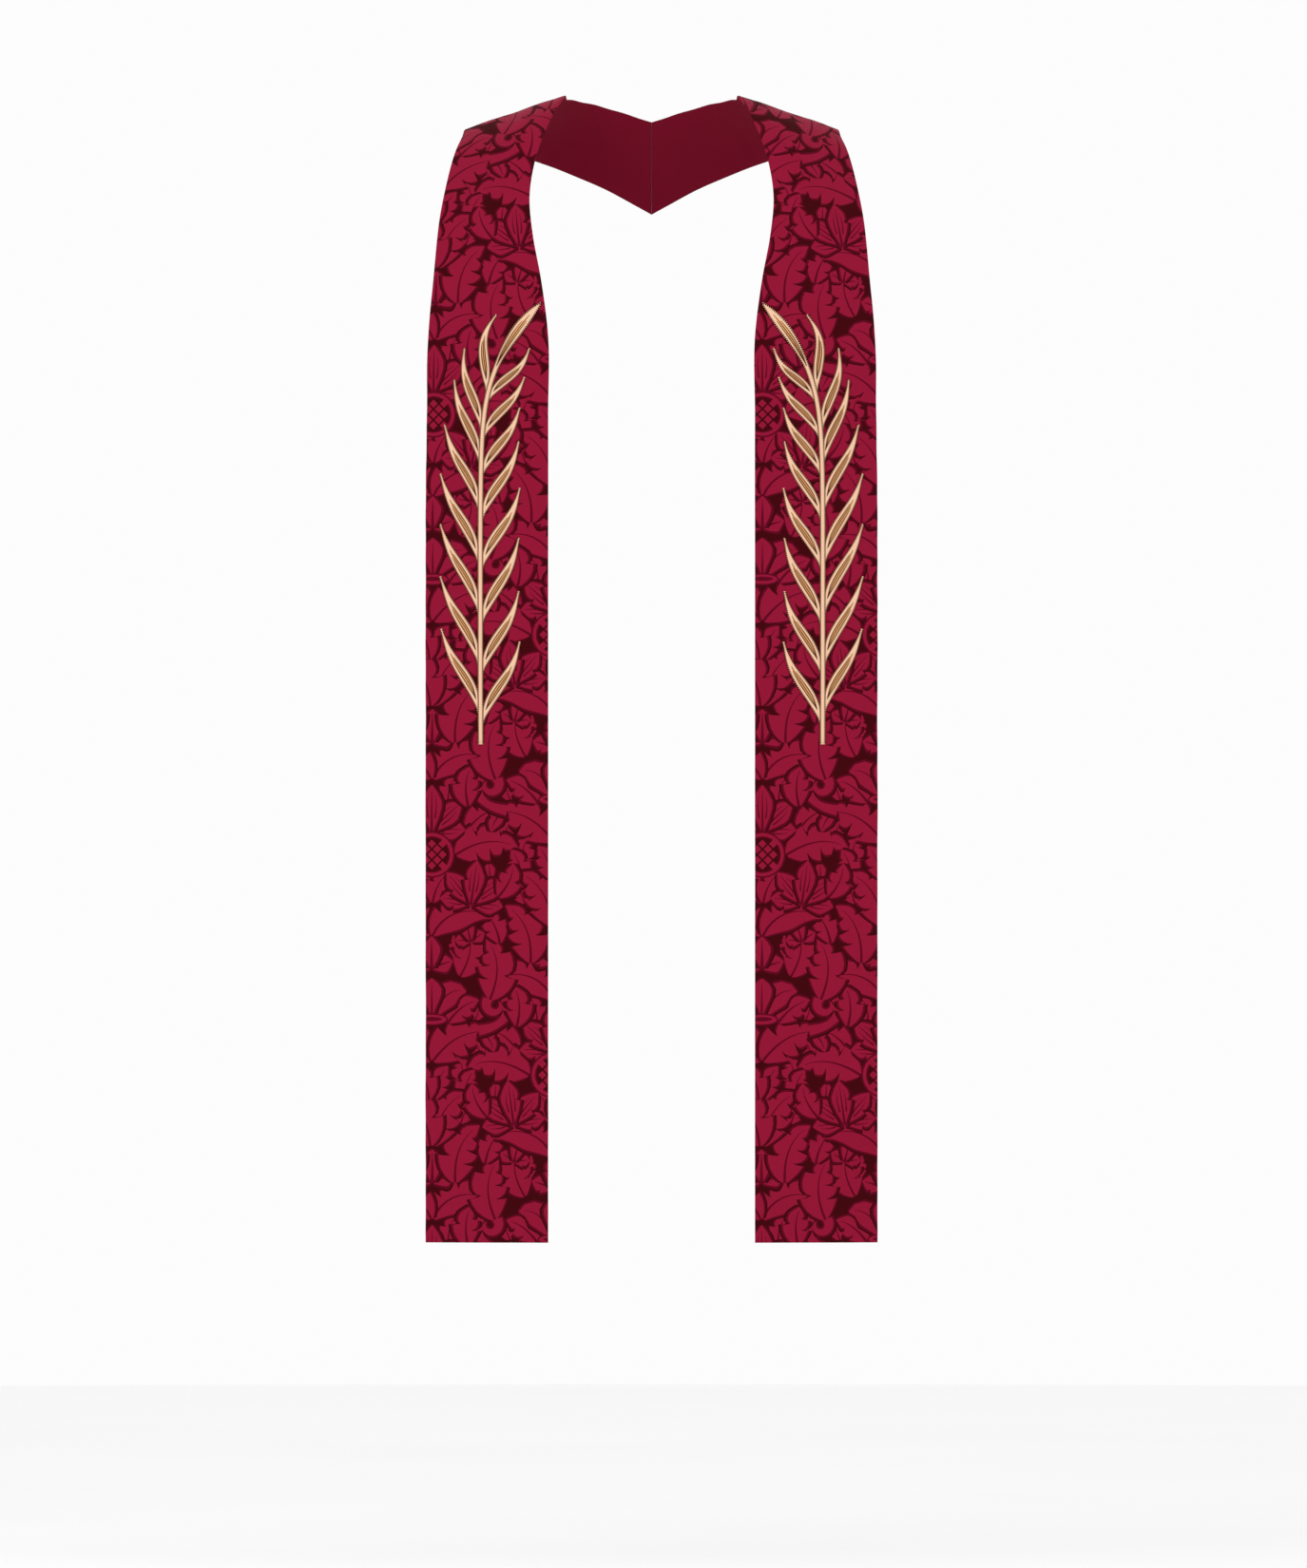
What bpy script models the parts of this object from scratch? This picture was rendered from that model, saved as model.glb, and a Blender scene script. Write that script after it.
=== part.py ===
"""A clerical stole as it hangs when worn: two shaped halves of lined cloth that meet in a seam
at the nape, and a palm branch applied to the front of each.

Metres, +Z up. The front faces -Y and the wearer's left is +X. The origin lies between the two
points where the inner edges cross the shoulder ridge.
"""

import math
from collections import namedtuple

import bmesh
import bpy
import numpy as np
from mathutils import Vector

MM = 0.001

# Driving sizes
WALL = 2.4 * MM
SEAM_GAP = 0.3 * MM
HANGING_STEP = 24 * MM
SHOULDER_STEP = 10 * MM
CELLS_ACROSS = 8
CUTTER_SIZE = (0.12, 0.2, 0.3)
CUTTER_DEPTH = 0.1
CUTTER_HEIGHT = -0.08
NUDGE = 0.01

# Each section runs from the inner edge to the outer one. Places are in millimetres, on the
# wearer's left; bow is how far the middle of the section stands out from the straight line.
Section = namedtuple("Section", "place inner_x inner_y inner_z outer_x outer_y outer_z bow")
SECTIONS = [
    Section("hem", 107, -126, -1192, 234, -113, -1192, 2.0),
    Section("thigh", 107, -125, -940, 234, -112, -940, 2.5),
    Section("hip", 107, -125, -700, 234, -111, -700, 3.0),
    Section("waist", 107, -124, -480, 234, -109, -480, 3.5),
    Section("ribs", 107, -121, -335, 233, -104, -340, 4.0),
    Section("chest", 107.5, -115, -247, 231.5, -98, -250, 4.0),
    Section("upper chest", 114.5, -105, -194, 227.5, -89, -204, 4.0),
    Section("armpit", 123, -92, -148, 223.5, -80, -162, 4.0),
    Section("below collarbone", 126.5, -77, -107, 218, -66, -120, 4.0),
    Section("collarbone", 122, -61, -74, 211.5, -50, -87, 4.0),
    Section("shoulder front", 112, -43, -42, 203, -30, -57, 3.5),
    Section("before the ridge", 101, -22, -17, 197, -13, -43, 2.0),
    Section("shoulder ridge", 91, 0, -2, 194, 0, -37, 1.0),
    Section("behind the ridge", 88, 25, -3, 176, 40, -45, 2.0),
    Section("shoulder blade", 76, 48, -5, 140, 74, -59, 3.0),
    Section("side of the nape", 55, 66, -9, 95, 95, -75, 3.0),
    Section("nape", 28, 77, -16, 48, 105, -95, 2.0),
    Section("centre back", 0, 81, -25, 0, 108, -121, 2.0),
    Section("past the seam", -28, 80, -34, -48, 105, -147, 2.0),
]
LAST_HANGING = 5

# Slow swings of the hanging cloth: each edge of each half has its own, deepest at the hem.
Sway = namedtuple("Sway", "inner_depth inner_wave inner_start outer_depth outer_wave outer_start")
SWAYS = {
    "left": Sway(5.0 * MM, 0.62, 0.4, 6.0 * MM, 0.55, 2.3),
    "right": Sway(6.0 * MM, 0.58, 2.9, 5.0 * MM, 0.66, 0.9),
}
SWAY_TOP = 0.95

# The palm branch. Heights are above its foot; across is towards the inner edge.
PALM_FOOT = 0.516
STEM_FROM_INNER = 0.0695
STEM_HEIGHT = 0.456
STEM_BEND_START = 0.2
STEM_BEND_POWER = 5
STEM_LEAN = 0.065
STEM_HALF_WIDTH = 2.5 * MM
STEM_STATIONS = 44
STEM_CROWDING = 1.5
STEM_WALL = 1.3 * MM
STEM_CLEARANCE = 0.3 * MM
TOP_BLADE_START = 0.388
TOP_BLADE_HALF_WIDTH = 5.0 * MM
TOP_BLADE_FULLEST = 0.6

# Each leaf of the branch in millimetres: where it leaves the stem and where its tip ends, on
# the side of the stem that faces the inner or the outer edge. bow is how far its middle stands
# off a straight line, away from the stem.
INNER = 1
OUTER = -1
Leaf = namedtuple("Leaf", "side root_height tip_height tip_across half_width bow")
LEAVES = [
    Leaf(INNER, 21, 108, 41, 6.1, 1.5),
    Leaf(INNER, 73, 160, 40, 6.1, 1.5),
    Leaf(INNER, 125, 215, 40, 6.1, 1.5),
    Leaf(INNER, 182, 266, 41, 6.1, 1.5),
    Leaf(INNER, 233, 314, 40, 6.0, 1.5),
    Leaf(INNER, 279, 348.5, 41, 5.8, 1.5),
    Leaf(INNER, 318, 381, 46.5, 5.4, 1.5),
    Leaf(INNER, 356, 413, 52.5, 5.0, 3.0),
    Leaf(OUTER, 31, 121, -41.5, 6.2, -0.8),
    Leaf(OUTER, 81, 175, -42.5, 6.2, -0.8),
    Leaf(OUTER, 134, 230, -42.5, 6.2, -0.8),
    Leaf(OUTER, 186, 283, -42.5, 6.1, -0.5),
    Leaf(OUTER, 241, 334, -38.5, 5.8, 0.0),
    Leaf(OUTER, 289, 380, -28.5, 5.4, 1.0),
    Leaf(OUTER, 325, 412, -18, 5.2, 4.0),
    Leaf(OUTER, 364, 447.5, 17, 5.0, 8.0),
]
LEAF_SWING = 2.4 * MM
LEAF_FULLEST = 0.42
LEAF_STATIONS = 12
LEAF_WALL = 1.0 * MM
LEAF_CLEARANCE = 0.4 * MM
TIP_HALF_WIDTH = 0.4 * MM
LEAF_ROOT_HALF_WIDTH = 1.3 * MM

CLOTH_COLOUR = (0.275, 0.0097, 0.037, 1.0)
PALM_COLOUR = (0.83, 0.51, 0.33, 1.0)


def clear_scene():
    """Removes what the scene holds at the start."""
    for item in list(bpy.data.objects):
        bpy.data.objects.remove(item)


def new_collection(name):
    collection = bpy.data.collections.new(name)
    bpy.context.scene.collection.children.link(collection)
    return collection


def new_material(name, colour, roughness, metallic):
    material = bpy.data.materials.new(name)
    material.use_nodes = True
    shader = material.node_tree.nodes["Principled BSDF"]
    shader.inputs["Base Color"].default_value = colour
    shader.inputs["Roughness"].default_value = roughness
    shader.inputs["Metallic"].default_value = metallic
    return material


def smoothstep(value):
    part = min(1.0, max(0.0, value))
    return part * part * (3 - 2 * part)


class StoleHalf:
    """The middle surface of one half, from its hem (along 0) to past the seam at the nape.

    along is a length in metres up the strip and across runs from 0 at the inner edge to 1.
    """

    def __init__(self, side):
        self.sign = 1 if side == "left" else -1
        self.sway = SWAYS[side]
        rows = np.array([section[1:] for section in SECTIONS], float) * MM
        middles = (rows[:, 0:3] + rows[:, 3:6]) / 2
        steps = np.linalg.norm(np.diff(middles, axis=0), axis=1)
        self.places = np.concatenate([[0.0], np.cumsum(steps)])
        self.rows = rows
        slopes = np.diff(rows, axis=0) / steps[:, None]
        before, after = steps[:-1, None], steps[1:, None]
        inner_slopes = (slopes[:-1] * after + slopes[1:] * before) / (before + after)
        self.slopes = np.vstack([slopes[:1], inner_slopes, slopes[-1:]])

    def section_at(self, along):
        """The seven section values at a length up the strip, on a smooth curve through the table."""
        index = int(np.searchsorted(self.places, along) - 1)
        index = min(max(index, 0), len(self.places) - 2)
        step = self.places[index + 1] - self.places[index]
        t = (along - self.places[index]) / step
        start, end = self.rows[index], self.rows[index + 1]
        start_slope, end_slope = self.slopes[index] * step, self.slopes[index + 1] * step
        return (
            start * (2 * t**3 - 3 * t**2 + 1)
            + start_slope * (t**3 - 2 * t**2 + t)
            + end * (3 * t**2 - 2 * t**3)
            + end_slope * (t**3 - t**2)
        )

    def sway_at(self, along, across):
        """How far the hanging cloth swings backwards here."""
        share = smoothstep(1 - along / SWAY_TOP)
        sway = self.sway
        inner = sway.inner_depth * math.sin(math.tau * along / sway.inner_wave + sway.inner_start)
        outer = sway.outer_depth * math.sin(math.tau * along / sway.outer_wave + sway.outer_start)
        return share * (inner * (1 - across) + outer * across)

    def bare_point(self, along, across):
        """A point of the surface on the wearer's left, before its half's own side is applied."""
        values = self.section_at(along)
        inner, outer, bow = values[0:3], values[3:6], values[6]
        ahead = self.section_at(along + MM)
        rise = (ahead[0:3] + ahead[3:6] - inner - outer) / 2
        out = np.cross(outer - inner, rise)
        out /= np.linalg.norm(out)
        point = inner + (outer - inner) * across + out * bow * 4 * across * (1 - across)
        point[1] += self.sway_at(along, across)
        return point

    def point(self, along, across, out=0.0):
        """A point of the surface, moved outwards by out."""
        point = self.bare_point(along, across)
        if out:
            up = self.bare_point(along + MM, across) - self.bare_point(along - MM, across)
            over = self.bare_point(along, across + NUDGE) - self.bare_point(along, across - NUDGE)
            normal = np.cross(over, up)
            point = point + normal / np.linalg.norm(normal) * out
        return Vector((point[0] * self.sign, point[1], point[2]))

    def row_places(self):
        """The lengths up the strip at which the cloth has a row of points."""
        places = [0.0]
        for index, (start, end) in enumerate(zip(self.places[:-1], self.places[1:])):
            step = HANGING_STEP if index < LAST_HANGING else SHOULDER_STEP
            count = math.ceil((end - start) / step)
            places += [start + (end - start) * (row + 1) / count for row in range(count)]
        return places[:-1]


def grid_object(name, rows, columns, place, collection):
    """A grid of points, each put where place(row, column) says."""
    grid = bmesh.new()
    bmesh.ops.create_grid(grid, x_segments=rows - 1, y_segments=columns - 1, size=1.0)
    for vertex in grid.verts:
        row = round((vertex.co.x + 1) / 2 * (rows - 1))
        column = round((vertex.co.y + 1) / 2 * (columns - 1))
        vertex.co = place(row, column)
    mesh = bpy.data.meshes.new(name)
    grid.to_mesh(mesh)
    grid.free()
    mesh.shade_smooth()
    item = bpy.data.objects.new(name, mesh)
    collection.objects.link(item)
    return item


def give_wall(item, thickness):
    solidify = item.modifiers.new("Wall", "SOLIDIFY")
    solidify.thickness = thickness
    solidify.offset = 0
    solidify.use_even_offset = True


def face_outwards(item):
    """Makes the grid's front the side that the wall's outer face is on."""
    mesh = item.evaluated_get(bpy.context.evaluated_depsgraph_get()).to_mesh()
    solid = bmesh.new()
    solid.from_mesh(mesh)
    inside_out = solid.calc_volume(signed=True) < 0
    solid.free()
    if inside_out:
        item.data.flip_normals()


def nape_cutter(sign, collection):
    """A hidden block that covers what a half has past the seam at the nape."""
    block = bmesh.new()
    bmesh.ops.create_cube(block, size=1.0)
    bmesh.ops.scale(block, verts=block.verts, vec=Vector(CUTTER_SIZE))
    mesh = bpy.data.meshes.new("past_the_seam")
    block.to_mesh(mesh)
    block.free()
    cutter = bpy.data.objects.new("past_the_seam", mesh)
    cutter.location = (-sign * (CUTTER_SIZE[0] - SEAM_GAP) / 2, CUTTER_DEPTH, CUTTER_HEIGHT)
    cutter.hide_render = True
    cutter.display_type = "WIRE"
    collection.objects.link(cutter)
    return cutter


def build_half(side, surface, material, parts, cutters):
    """One half of the stole: a single cut piece from the hem to the seam at the nape."""
    places = surface.row_places()

    def place(row, column):
        return surface.point(places[row], column / CELLS_ACROSS)

    half = grid_object(f"stole_half_{side}", len(places), CELLS_ACROSS + 1, place, parts)
    give_wall(half, WALL)
    bpy.context.view_layer.update()
    face_outwards(half)
    cut = half.modifiers.new("Seam at the nape", "BOOLEAN")
    cut.operation = "DIFFERENCE"
    cut.object = nape_cutter(surface.sign, cutters)
    half.data.materials.append(material)
    return half


def stem_bend(height):
    """How much of its bend the stem has made at this height, from 0 to 1."""
    return max(0.0, height - STEM_BEND_START) / (STEM_HEIGHT - STEM_BEND_START)


def stem_across(height):
    """How far the stem has leant towards the inner edge at this height."""
    return STEM_LEAN * stem_bend(height) ** STEM_BEND_POWER


def stem_angle(height):
    """The stem's lean at this height, as an angle from upright."""
    rise = STEM_HEIGHT - STEM_BEND_START
    slope = STEM_BEND_POWER * STEM_LEAN * stem_bend(height) ** (STEM_BEND_POWER - 1) / rise
    return math.atan(slope)


def blade_share(part, fullest):
    """The share of its full width that a blade has, part of the way from root to tip."""
    return math.sin(math.pi * part ** math.log(0.5, fullest)) ** 1.3


def stem_half_width(height):
    """The stem is even up to its top blade, which swells and comes to a point."""
    part = (height - TOP_BLADE_START) / (STEM_HEIGHT - TOP_BLADE_START)
    if part <= 0:
        return STEM_HALF_WIDTH
    share = blade_share(min(part, 1.0), TOP_BLADE_FULLEST)
    neck = STEM_HALF_WIDTH * (1 - part)
    return max(neck + (TOP_BLADE_HALF_WIDTH - neck) * share, TIP_HALF_WIDTH)


def on_panel(surface, across, height, out):
    """A point of the palm branch, placed on the front of its half."""
    width = (SECTIONS[0].outer_x - SECTIONS[0].inner_x) * MM
    return surface.point(PALM_FOOT + height, (STEM_FROM_INNER - across) / width, out)


def build_stem(surface, name, collection):
    """The stem, which runs on into the blade at the top."""
    out = (WALL + STEM_WALL) / 2 + STEM_CLEARANCE

    def place(row, column):
        left = 1 - row / (STEM_STATIONS - 1)
        height = STEM_HEIGHT * (1 - left**STEM_CROWDING)
        angle = stem_angle(height)
        side = (column - 1) * stem_half_width(height)
        across = stem_across(height) + side * math.cos(angle)
        return on_panel(surface, across, height - side * math.sin(angle), out)

    stem = grid_object(name, STEM_STATIONS, 3, place, collection)
    give_wall(stem, STEM_WALL)
    return stem


def leaf_middle(leaf, part):
    """(across, height) of the middle of a leaf: a line that bows, then swings up at the tip."""
    start = np.array([stem_across(leaf.root_height * MM), leaf.root_height * MM])
    end = np.array([leaf.tip_across, leaf.tip_height]) * MM
    run = end - start
    aside = np.array([run[1], -run[0]]) / np.linalg.norm(run) * leaf.side
    swing = -LEAF_SWING * math.sin(math.tau * part) + leaf.bow * MM * 4 * part * (1 - part)
    return start + run * part + aside * swing


def build_leaf(surface, number, leaf, collection):
    """One leaf of the branch, from inside the stem to its tip."""
    out = (WALL + LEAF_WALL) / 2 + LEAF_CLEARANCE

    def place(row, column):
        part = row / (LEAF_STATIONS - 1)
        middle = leaf_middle(leaf, part)
        ahead = leaf_middle(leaf, part + NUDGE) - leaf_middle(leaf, part - NUDGE)
        aside = np.array([ahead[1], -ahead[0]]) / np.linalg.norm(ahead)
        ends = LEAF_ROOT_HALF_WIDTH * (1 - part) + TIP_HALF_WIDTH * part
        swell = leaf.half_width * MM * blade_share(part, LEAF_FULLEST)
        across, height = middle + aside * (column - 1) * max(swell, ends)
        return on_panel(surface, across, height, out)

    item = grid_object(f"leaf_{number}", LEAF_STATIONS, 3, place, collection)
    give_wall(item, LEAF_WALL)
    item.hide_render = True
    item.display_type = "WIRE"
    return item


def build_palm(side, surface, material, parts, guides):
    """One palm branch: its stem with the sixteen leaves joined to it."""
    palm = build_stem(surface, f"palm_applique_{side}", parts)
    leaves = [build_leaf(surface, number, leaf, guides) for number, leaf in enumerate(LEAVES, 1)]
    bpy.context.view_layer.update()
    for item in [palm, *leaves]:
        face_outwards(item)
    for leaf in leaves:
        join = palm.modifiers.new(f"Join {leaf.name}", "BOOLEAN")
        join.operation = "UNION"
        join.object = leaf
    palm.data.materials.append(material)
    return palm


def main():
    clear_scene()
    parts = new_collection("clerical_stole")
    cutters = new_collection("cutters")
    cloth = new_material("damask", CLOTH_COLOUR, 0.55, 0.0)
    gold = new_material("gold_satin", PALM_COLOUR, 0.4, 0.1)
    for side in SWAYS:
        surface = StoleHalf(side)
        build_half(side, surface, cloth, parts, cutters)
        build_palm(side, surface, gold, parts, cutters)


main()
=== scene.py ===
"""A clerical stole in crimson damask, with a gold palm branch on the front of each half.

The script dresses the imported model. Each half is drawn flat, as its cloth is cut and with the
leaves of its damask, and is then laid on the form that the worn stole has. Metres, +Z up; the
front faces -Y, and the stole's own left, as it is worn, is +X.
"""

from __future__ import annotations

import logging
import math
from dataclasses import dataclass
from enum import Enum
from functools import partial
from typing import Any, Callable, Iterator, NamedTuple

import bmesh
import bpy
import numpy as np
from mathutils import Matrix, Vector
from mathutils.geometry import delaunay_2d_cdt

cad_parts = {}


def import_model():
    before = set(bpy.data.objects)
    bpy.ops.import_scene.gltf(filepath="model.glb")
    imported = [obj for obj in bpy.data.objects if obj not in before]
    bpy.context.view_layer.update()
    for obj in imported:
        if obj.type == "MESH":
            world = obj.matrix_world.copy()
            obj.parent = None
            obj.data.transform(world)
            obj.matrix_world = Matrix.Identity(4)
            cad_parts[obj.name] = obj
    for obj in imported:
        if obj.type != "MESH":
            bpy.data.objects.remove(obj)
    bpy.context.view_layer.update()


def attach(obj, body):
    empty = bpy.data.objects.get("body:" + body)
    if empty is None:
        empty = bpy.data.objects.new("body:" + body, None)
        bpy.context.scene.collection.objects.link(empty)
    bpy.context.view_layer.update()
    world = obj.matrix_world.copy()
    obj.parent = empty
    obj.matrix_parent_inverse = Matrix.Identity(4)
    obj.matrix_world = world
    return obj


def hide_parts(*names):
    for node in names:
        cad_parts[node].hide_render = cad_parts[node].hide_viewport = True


LOG = logging.getLogger("clerical_stole")
MM = 0.001
# The width of a hanging panel and the thickness of its cloth, as the solids have them.
PANEL_WIDTH = 0.127
CLOTH_WALL = 2.4 * MM
Colour = tuple[float, float, float, float]


def from_screen(red: int, green: int, blue: int) -> Colour:
    """A shader colour from the levels of a screen colour.

    Args:
        red: Red level, 0 to 255.
        green: Green level, 0 to 255.
        blue: Blue level, 0 to 255.

    Returns:
        The linear colour with full opacity.
    """
    levels = (level / 255 for level in (red, green, blue))
    linear = (s / 12.92 if s <= 0.04045 else ((s + 0.055) / 1.055) ** 2.4 for s in levels)
    return (*linear, 1.0)


# The form of the worn stole, as the solids have it.


class Side(Enum):
    """The side that a half hangs on, as it is worn. Its value turns the form to that side."""

    LEFT = 1
    RIGHT = -1

    @property
    def word(self) -> str:
        """The side's name in piece names."""
        return self.name.lower()


class Section(NamedTuple):
    """A section of a half in millimetres, from its inner to its outer edge, with its bow."""

    inner: tuple[float, float, float]
    outer: tuple[float, float, float]
    bow: float


SECTIONS = (
    Section((107, -126, -1192), (234, -113, -1192), 2.0),  # hem
    Section((107, -125, -940), (234, -112, -940), 2.5),
    Section((107, -125, -700), (234, -111, -700), 3.0),
    Section((107, -124, -480), (234, -109, -480), 3.5),  # waist
    Section((107, -121, -335), (233, -104, -340), 4.0),
    Section((107.5, -115, -247), (231.5, -98, -250), 4.0),  # chest
    Section((114.5, -105, -194), (227.5, -89, -204), 4.0),
    Section((123, -92, -148), (223.5, -80, -162), 4.0),
    Section((126.5, -77, -107), (218, -66, -120), 4.0),
    Section((122, -61, -74), (211.5, -50, -87), 4.0),  # collarbone
    Section((112, -43, -42), (203, -30, -57), 3.5),
    Section((101, -22, -17), (197, -13, -43), 2.0),
    Section((91, 0, -2), (194, 0, -37), 1.0),  # shoulder ridge
    Section((88, 25, -3), (176, 40, -45), 2.0),
    Section((76, 48, -5), (140, 74, -59), 3.0),
    Section((55, 66, -9), (95, 95, -75), 3.0),
    Section((28, 77, -16), (48, 105, -95), 2.0),  # nape
    Section((0, 81, -25), (0, 108, -121), 2.0),
    Section((-28, 80, -34), (-48, 105, -147), 2.0),  # past the seam
)


@dataclass(frozen=True)
class Swing:
    """A slow swing of one hanging edge: depth and wave in metres, start in radians."""

    depth: float
    wave: float
    start: float

    def at(self, along: np.ndarray) -> np.ndarray:
        """How far the edge swings backwards at these lengths up the strip."""
        return self.depth * np.sin(math.tau * along / self.wave + self.start)


def smoothstep(value: np.ndarray) -> np.ndarray:
    """Rises smoothly from 0 to 1 as value does."""
    part = np.clip(value, 0, 1)
    return part * part * (3 - 2 * part)


@dataclass
class StoleSurface:
    """The middle surface of one half.

    A place on it is along, a length in metres up the strip from the hem, and across, which runs
    from 0 at the inner edge to 1 at the outer one.
    """

    side: Side
    inner_swing: Swing
    outer_swing: Swing
    swing_top: float = 0.95
    nudge: float = 0.01
    fold_depth: float = 0.9 * MM
    fold_wave: float = 0.21
    fold_lean: float = 0.6
    slant_ratio: float = 2.7
    slant_lean: float = 1.1
    pucker_depth: float = 0.45 * MM
    pucker_wave: float = 0.058
    pucker_reach: float = 0.07
    pucker_drift: float = 4.0
    pucker_drift_rate: float = 9.0

    def __post_init__(self) -> None:
        """Works out the curve through the sections."""
        self.rows = np.array([[*s.inner, *s.outer, s.bow] for s in SECTIONS]) * MM
        middles = (self.rows[:, 0:3] + self.rows[:, 3:6]) / 2
        steps = np.linalg.norm(np.diff(middles, axis=0), axis=1)
        self.places = np.concatenate([[0.0], np.cumsum(steps)])
        slopes = np.diff(self.rows, axis=0) / steps[:, None]
        before, after = steps[:-1, None], steps[1:, None]
        between = (slopes[:-1] * after + slopes[1:] * before) / (before + after)
        self.slopes = np.vstack([slopes[:1], between, slopes[-1:]])

    def section_at(self, along: np.ndarray) -> np.ndarray:
        """The section values at lengths up the strip.

        Args:
            along: Lengths from the hem, any number of them.

        Returns:
            One row of seven values for each length.
        """
        index = np.clip(np.searchsorted(self.places, along) - 1, 0, len(self.places) - 2)
        step = (self.places[index + 1] - self.places[index])[:, None]
        t = (along - self.places[index])[:, None] / step
        return (
            self.rows[index] * (2 * t**3 - 3 * t**2 + 1)
            + self.slopes[index] * step * (t**3 - 2 * t**2 + t)
            + self.rows[index + 1] * (3 * t**2 - 2 * t**3)
            + self.slopes[index + 1] * step * (t**3 - t**2)
        )

    def bare_points(self, along: np.ndarray, across: np.ndarray) -> np.ndarray:
        """Points of the surface as the left half has it, before a half's own side is applied.

        Args:
            along: Lengths from the hem.
            across: Shares of the way from the inner edge to the outer one.

        Returns:
            One point a row.
        """
        values, ahead = self.section_at(along), self.section_at(along + MM)
        inner, outer, bow = values[:, 0:3], values[:, 3:6], values[:, 6:7]
        rise = (ahead[:, 0:3] + ahead[:, 3:6] - inner - outer) / 2
        out = np.cross(outer - inner, rise)
        out /= np.linalg.norm(out, axis=1)[:, None]
        share = across[:, None]
        points = inner + (outer - inner) * share + out * bow * 4 * share * (1 - share)
        swing = self.inner_swing.at(along) * (1 - across) + self.outer_swing.at(along) * across
        points[:, 1] += swing * smoothstep(1 - along / self.swing_top)
        return points

    def softness(self, along: np.ndarray, across: np.ndarray) -> np.ndarray:
        """Works out the low folds of the cloth and the pucker along its sewn edges.

        Args:
            along: Lengths from the hem.
            across: Shares of the way from the inner edge to the outer one.

        Returns:
            How far the cloth stands out at each place.
        """
        fold = np.sin(math.tau * (along / self.fold_wave + self.fold_lean * across))
        slant_wave = self.slant_ratio * self.fold_wave
        slant = np.sin(math.tau * (along / slant_wave - self.slant_lean * across))
        from_edge = np.minimum(across, 1 - across) / self.pucker_reach
        drift = self.pucker_drift * np.sin(self.pucker_drift_rate * along)
        pucker = np.sin(math.tau * along / self.pucker_wave + drift)
        edge_share = np.exp(-from_edge * from_edge)
        return self.fold_depth * fold * slant + self.pucker_depth * pucker * edge_share

    def points(self, along: np.ndarray, across: np.ndarray, out: np.ndarray) -> np.ndarray:
        """Points of the half, moved off its middle surface.

        Args:
            along: Lengths from the hem.
            across: Shares of the way from the inner edge to the outer one.
            out: How far each point stands outwards.

        Returns:
            One point a row, on the half's own side.
        """
        up = self.bare_points(along + MM, across) - self.bare_points(along - MM, across)
        over = self.bare_points(along, across + self.nudge)
        over -= self.bare_points(along, across - self.nudge)
        normal = np.cross(over, up)
        normal /= np.linalg.norm(normal, axis=1)[:, None]
        lift = out + self.softness(along, across)
        points = self.bare_points(along, across) + normal * lift[:, None]
        points[:, 0] *= self.side.value
        return points


# The damask's design: a generic layout of toothed leaves, drawn flat in millimetres.


class Tone(Enum):
    """What a patch of the damask is woven as. Its value is kept on the cloth's faces."""

    GROUND = 0.0
    LINE = 0.3
    PLAIN = 0.5
    FIGURE = 1.0


class Patch(NamedTuple):
    """An outline filled with one tone."""

    tone: Tone
    outline: np.ndarray


class ToothPoint(NamedTuple):
    """A point of a tooth: its place along the tooth, its lean to the tip, and its reach."""

    place: float
    lean: float
    reach: float


TOOTH = (
    ToothPoint(0.0, 0.0, 0.0),
    ToothPoint(0.08, -0.02, 0.45),
    ToothPoint(0.22, 0.0, 0.8),
    ToothPoint(0.42, 0.03, 1.0),
    ToothPoint(0.6, 0.08, 1.1),
    ToothPoint(0.78, 0.13, 1.16),
    ToothPoint(0.86, 0.06, 0.66),
    ToothPoint(0.95, 0.0, 0.22),
)


class Vein(NamedTuple):
    """A vein of a lobe: offset by a share of the half width, its two ends, and its thickness."""

    offset: float
    begin: float
    end: float
    thick: float


MAIN_VEIN = Vein(0.0, 0.0, 0.88, 2.6)
SIDE_VEIN = Vein(0.45, 0.28, 0.76, 1.7)


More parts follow.
